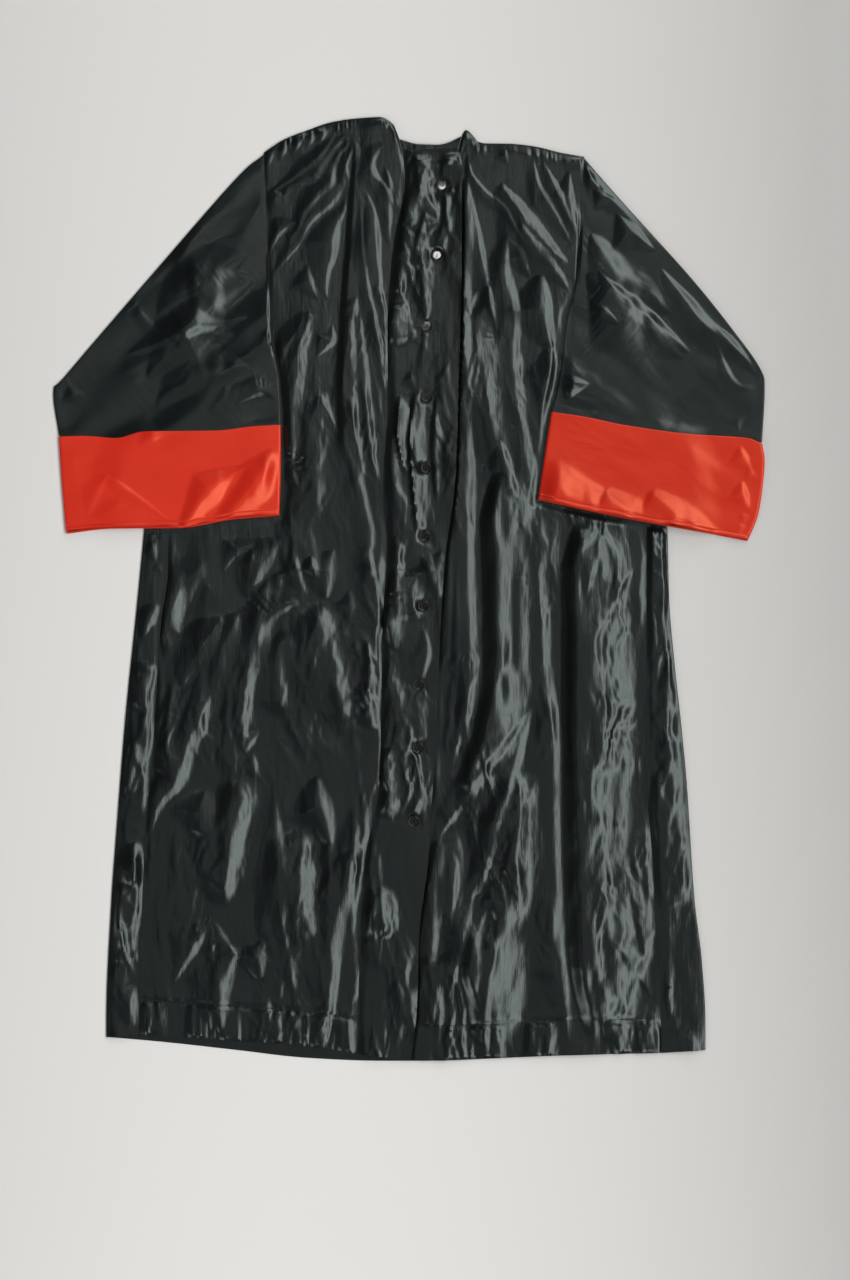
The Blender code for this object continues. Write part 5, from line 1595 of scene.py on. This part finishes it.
def lay_bars(name, bars, radius):
    """Joins short round bars of thread, with tapered ends, into one piece."""
    points, faces = [], []
    for bar in bars:
        start, end = Vector(bar.start), Vector(bar.end)
        along = (end - start).normalized()
        side = along.cross(Vector((0, 0, 1))).normalized()
        over = side.cross(along)
        base = len(points)
        for share, size in THREAD_TAPER:
            centre = start.lerp(end, share)
            for k in range(THREAD_SIDES):
                turn = 2 * math.pi * k / THREAD_SIDES
                points.append(centre + radius * size * (math.cos(turn) * side + math.sin(turn) * over))
        for ring in range(len(THREAD_TAPER) - 1):
            for k in range(THREAD_SIDES):
                a, b = base + ring * THREAD_SIDES + k, base + ring * THREAD_SIDES + (k + 1) % THREAD_SIDES
                faces.append((a, b, b + THREAD_SIDES, a + THREAD_SIDES))
        faces.append(tuple(range(base + THREAD_SIDES - 1, base - 1, -1)))
        faces.append(tuple(range(len(points) - THREAD_SIDES, len(points))))
    mesh = bpy.data.meshes.new(name)
    mesh.from_pydata([tuple(point * MM) for point in points], [], faces)
    mesh.materials.append(THREAD)
    mesh.shade_smooth()
    piece = bpy.data.objects.new(name, mesh)
    robe.objects.link(piece)
    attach(piece, "root")
    print(f"{name}: {len(bars)} bars of thread")
    return piece


SURFACES = {}


def drape_on(piece, x, y):
    """The place on top of a piece, seen from straight above, or nothing where it has none."""
    if piece.name not in SURFACES:
        corners = [vert.co for vert in piece.data.vertices]
        faces = [face.vertices for face in piece.data.polygons]
        SURFACES[piece.name] = BVHTree.FromPolygons(corners, faces)
    hit = SURFACES[piece.name].ray_cast(Vector((x * MM, y * MM, 0.1)), Vector((0, 0, -1)))[0]
    return None if hit is None else (x, y, hit.z / MM)


def stitch_row(piece, places):
    """Stitches along a line of places on a piece."""
    run = np.concatenate([[0.0], np.cumsum(np.hypot(*np.diff(places, axis=0).T))])
    bars = []
    for start in np.arange(STITCH_PITCH, run[-1] - STITCH_PITCH, STITCH_PITCH):
        ends = []
        for at in (start, start + STITCH_LENGTH):
            ends.append(drape_on(piece, np.interp(at, run, places[:, 0]), np.interp(at, run, places[:, 1])))
        if None not in ends:
            rise = THREAD_RADIUS - STITCH_SUNK
            bars.append(Bar(*[(x, y, z + rise) for x, y, z in ends]))
    return bars


def line_of(rows, first, last, shift, count=60):
    x = np.linspace(first, last, count)
    return np.stack([x, read_table(rows, x) + shift], axis=-1)


SEAM_STITCH_IN = 2.2
SEAM_STITCH_TOP, SEAM_STITCH_END = NECK_Y - 8, -620
SEAM_PLACES = 200
HEM_STITCHED_RIGHT, HEM_STITCHED_LEFT = (-365, -78), (12, 338)
seam_y = np.linspace(SEAM_STITCH_TOP, SEAM_STITCH_END, SEAM_PLACES)
hem_rows = stitch_row(right_front, line_of(HEM_RIGHT_FRONT, *HEM_STITCHED_RIGHT, HEM_DEPTH))
hem_rows += stitch_row(left_front, line_of(HEM_LEFT_FRONT, *HEM_STITCHED_LEFT, HEM_DEPTH))
lay_bars("hem_stitches", hem_rows, THREAD_RADIUS)
seam_line = np.stack([read_table(BAND_SEAM, seam_y) + SEAM_STITCH_IN, seam_y], axis=-1)
lay_bars("band_seam_stitches", stitch_row(band, seam_line), THREAD_RADIUS)

# %% Buttonholes and the buttons' thread
HOLE_LENGTH = 16.0
HOLE_ASIDE = 10.5
HOLE_LEAN = 12.0
WELT_BARS = 15
WELT_WIDTH = 1.7
SLIT = 0.2
THREAD_TURNS = 2
THREAD_PITCH = 1.6


def buttonhole_bars(button):
    """Two rows of close stitches, one along each side of the slit."""
    turn = math.radians(HOLE_LEAN)
    down = (math.sin(turn), -math.cos(turn))
    aside = (math.cos(turn), math.sin(turn))
    bars = []
    for side in (-1, 1):
        for step in np.linspace(-0.5, 0.5, WELT_BARS):
            ends = []
            for width in (SLIT, WELT_WIDTH):
                x = button.x + HOLE_ASIDE + step * HOLE_LENGTH * down[0] + side * width * aside[0]
                y = button.y + step * HOLE_LENGTH * down[1] + side * width * aside[1]
                ends.append(drape_on(band, x, y))
            if None not in ends:
                bars.append(Bar(*[(x, y, z + THREAD_RADIUS) for x, y, z in ends]))
    return bars


def sewing_bars(button, turn):
    """A few turns of thread across a button's face, from one hole to the other."""
    turn = math.radians(turn)
    along, aside = (math.cos(turn), math.sin(turn)), (-math.sin(turn), math.cos(turn))
    top = BUTTON_LEVEL + BUTTON_THICKNESS + BUTTON_CROWN + THREAD_RADIUS
    bars = []
    for step in range(THREAD_TURNS):
        shift = (step - (THREAD_TURNS - 1) / 2) * THREAD_PITCH * THREAD_RADIUS
        ends = []
        for side in (-1, 1):
            reach = side * BUTTON_HOLE_SPACING / 2
            ends.append((button.x + reach * along[0] + shift * aside[0],
                         button.y + reach * along[1] + shift * aside[1], top))
        bars.append(Bar(*ends))
    return bars


hole_rows, sewing_rows = [], []
for button, turn in zip(BUTTONS, BUTTON_TURNS):
    hole_rows += buttonhole_bars(button)
    sewing_rows += sewing_bars(button, turn)
lay_bars("buttonhole_stitches", hole_rows, THREAD_RADIUS)
lay_bars("button_thread", sewing_rows, THREAD_RADIUS)

# %% [markdown]
# ## Light, floor and camera
# Two long windows stand to the viewer's right, one towards the hem and one towards the neck. Slopes
# that look right reflect them, so each crease has a bright side and a dark one. One round lamp would
# give hard glints instead. A faint panel higher up and two low softboxes, one beyond the neck and one
# at the lower left, fill in between them. A weak ceiling lights the flats of the left half, and a
# small lamp over the neck gives the upper buttons their glint. The floor's colour has painted shade:
# it gets darker to the right, far out to the left and a little towards the neck.

# %% Floor
FLOOR_SIZE = 14.0
# The first colour is the floor's own pale colour. The second is painted shade, which the floor blends
# towards away from the lamps.
FLOOR_PALE, FLOOR_PAINTED_SHADE = (0.86, 0.85, 0.825, 1), (0.50, 0.494, 0.478, 1)
FLOOR_SHADE_CURVE, FLOOR_SHADE_ACROSS, FLOOR_SHADE_UP = 1.11, 0.49, 0.1
FLOOR_EVEN, FLOOR_DRIFT = 0.29, 0.04
FLOOR_DRIFT_SIZE = (600, 600, 600)


def make_floor():
    mesh = bpy.data.meshes.new("floor")
    half = FLOOR_SIZE / 2
    corners = [(-half, -half, 0), (half, -half, 0), (half, half, 0), (-half, half, 0)]
    mesh.from_pydata(corners, [], [(0, 1, 2, 3)])
    finish = Finish("pale floor", Roughness=0.85, Specular_IOR_Level=0.25)
    drift = finish.grain(FLOOR_DRIFT_SIZE)
    place = finish.node("TexCoord", {}, {}, output="Object")
    across = finish.node("SeparateXYZ", {}, {0: place}, output=0)
    up = finish.node("SeparateXYZ", {}, {0: place}, output=1)
    # Painted shade: the floor's colour darkens to the right, far out to the left and a little towards the
    # neck, where less lamp light falls. The drift on top is a random tone of the floor itself.
    share = across * across * FLOOR_SHADE_CURVE + across * FLOOR_SHADE_ACROSS + up * FLOOR_SHADE_UP + FLOOR_EVEN
    finish.set("Base Color", finish.blend(share + drift * FLOOR_DRIFT, FLOOR_PALE, FLOOR_PAINTED_SHADE))
    mesh.materials.append(finish.material)
    floor = bpy.data.objects.new("floor", mesh)
    bpy.context.scene.collection.objects.link(floor)
    print("floor:", FLOOR_SIZE, "m square")


make_floor()

# %% Lamps
STUDIO_COLOUR = (0.95, 0.97, 1.0, 1)
STUDIO_STRENGTH = 0.03


def make_lamp(name, azimuth, tilt, distance, width, length, radiance):
    """A softbox that looks at the robe, tilted from straight overhead towards an azimuth.

    Both angles are in degrees, and the azimuth turns from the viewer's right. Sizes are in metres.
    """
    lamp = bpy.data.lights.new(name, "AREA")
    lamp.shape = "RECTANGLE"
    lamp.size, lamp.size_y = width, length
    lamp.energy = radiance * math.pi * width * length
    holder = bpy.data.objects.new(name, lamp)
    azimuth, tilt = math.radians(azimuth), math.radians(tilt)
    away = Vector((math.sin(tilt) * math.cos(azimuth), math.sin(tilt) * math.sin(azimuth), math.cos(tilt)))
    holder.location = away * distance
    holder.rotation_euler = away.to_track_quat("Z", "Y").to_euler()
    bpy.context.scene.collection.objects.link(holder)
    print(f"{name}: {lamp.energy:.0f} W")
    return holder


def hang_lamp(name, x, y, height, width, length, radiance):
    """A lamp that hangs level over one place."""
    holder = make_lamp(name, 0, 0, height, width, length, radiance)
    holder.location.x, holder.location.y = x, y
    holder.rotation_euler = (0, 0, 0)


make_lamp("key window, near end", -36, 40, 10.0, 9.0, 3.4, 5.2)
make_lamp("key window, far end", 35, 40, 10.0, 8.2, 3.4, 5.2)
make_lamp("near panel", 4, 25, 10.0, 9.0, 1.6, 0.5)
make_lamp("upper softbox", 80, 64, 9.0, 5.0, 3.4, 3.6)
make_lamp("lower softbox", 226, 68, 9.0, 6.5, 4.6, 3.4)
hang_lamp("ceiling", -1.6, -0.8, 8.0, 3.4, 3.4, 0.35)
hang_lamp("head lamp", 0.065, 1.08, 6.0, 0.26, 0.25, 30.0)
world = bpy.data.worlds.new("studio")
world.use_nodes = True
world.node_tree.nodes["Background"].inputs["Color"].default_value = STUDIO_COLOUR
world.node_tree.nodes["Background"].inputs["Strength"].default_value = STUDIO_STRENGTH
bpy.context.scene.world = world
bpy.context.scene.view_settings.view_transform = "Standard"

# %% Camera
CAMERA_HEIGHT = 5.5
CAMERA_ACROSS, CAMERA_UP = 0.0214, -0.0704
VIEW_HEIGHT = 1.7664
SENSOR = 36.0
camera_data = bpy.data.cameras.new("camera")
camera_data.sensor_fit = "VERTICAL"
camera_data.sensor_height = SENSOR
camera_data.lens = SENSOR * CAMERA_HEIGHT / VIEW_HEIGHT
camera = bpy.data.objects.new("camera", camera_data)
camera.location = (CAMERA_ACROSS, CAMERA_UP, CAMERA_HEIGHT)
bpy.context.scene.collection.objects.link(camera)
bpy.context.scene.camera = camera
print("camera:", CAMERA_HEIGHT, "m over the floor, with a lens of", round(camera_data.lens), "mm")

# %% [markdown]
# ## What each piece was cut from
# The cloth doesn't stretch, so each piece is as large as the flat piece that it was cut from, with its
# folds. A tube is given all round. Area is the cut's own area, which is less than width times length
# where a piece narrows.

Cut = namedtuple("Cut", "piece width length area rests_on slot")
BLACK_SLOT, RED_SLOT, BUTTON_SLOT = "black_satin", "red_satin", "black_button"
CUTS = (
    Cut(back, 0.94, 1.30, 0.91, (), BLACK_SLOT),
    Cut(right_front, 0.33, 1.29, 0.35, (back,), BLACK_SLOT),
    Cut(left_front, 0.44, 1.28, 0.43, (back,), BLACK_SLOT),
    Cut(band, 0.11, 1.26, 0.13, (left_front,), BLACK_SLOT),
    Cut(sleeve_right, 0.64, 0.54, 0.215, (back,), BLACK_SLOT),
    Cut(sleeve_left, 0.64, 0.54, 0.205, (back,), BLACK_SLOT),
    Cut(cuff_right, 0.62, 0.14, 0.079, (sleeve_right,), RED_SLOT),
    Cut(cuff_left, 0.62, 0.14, 0.079, (sleeve_left,), RED_SLOT),
    Cut(neckband, 0.15, 0.012, 0.0015, (back,), BLACK_SLOT),
)
for cut in CUTS:
    print(f"{cut.piece.name}: {flat_area(cut.piece):.4f} square metres from a cut of {cut.area}")
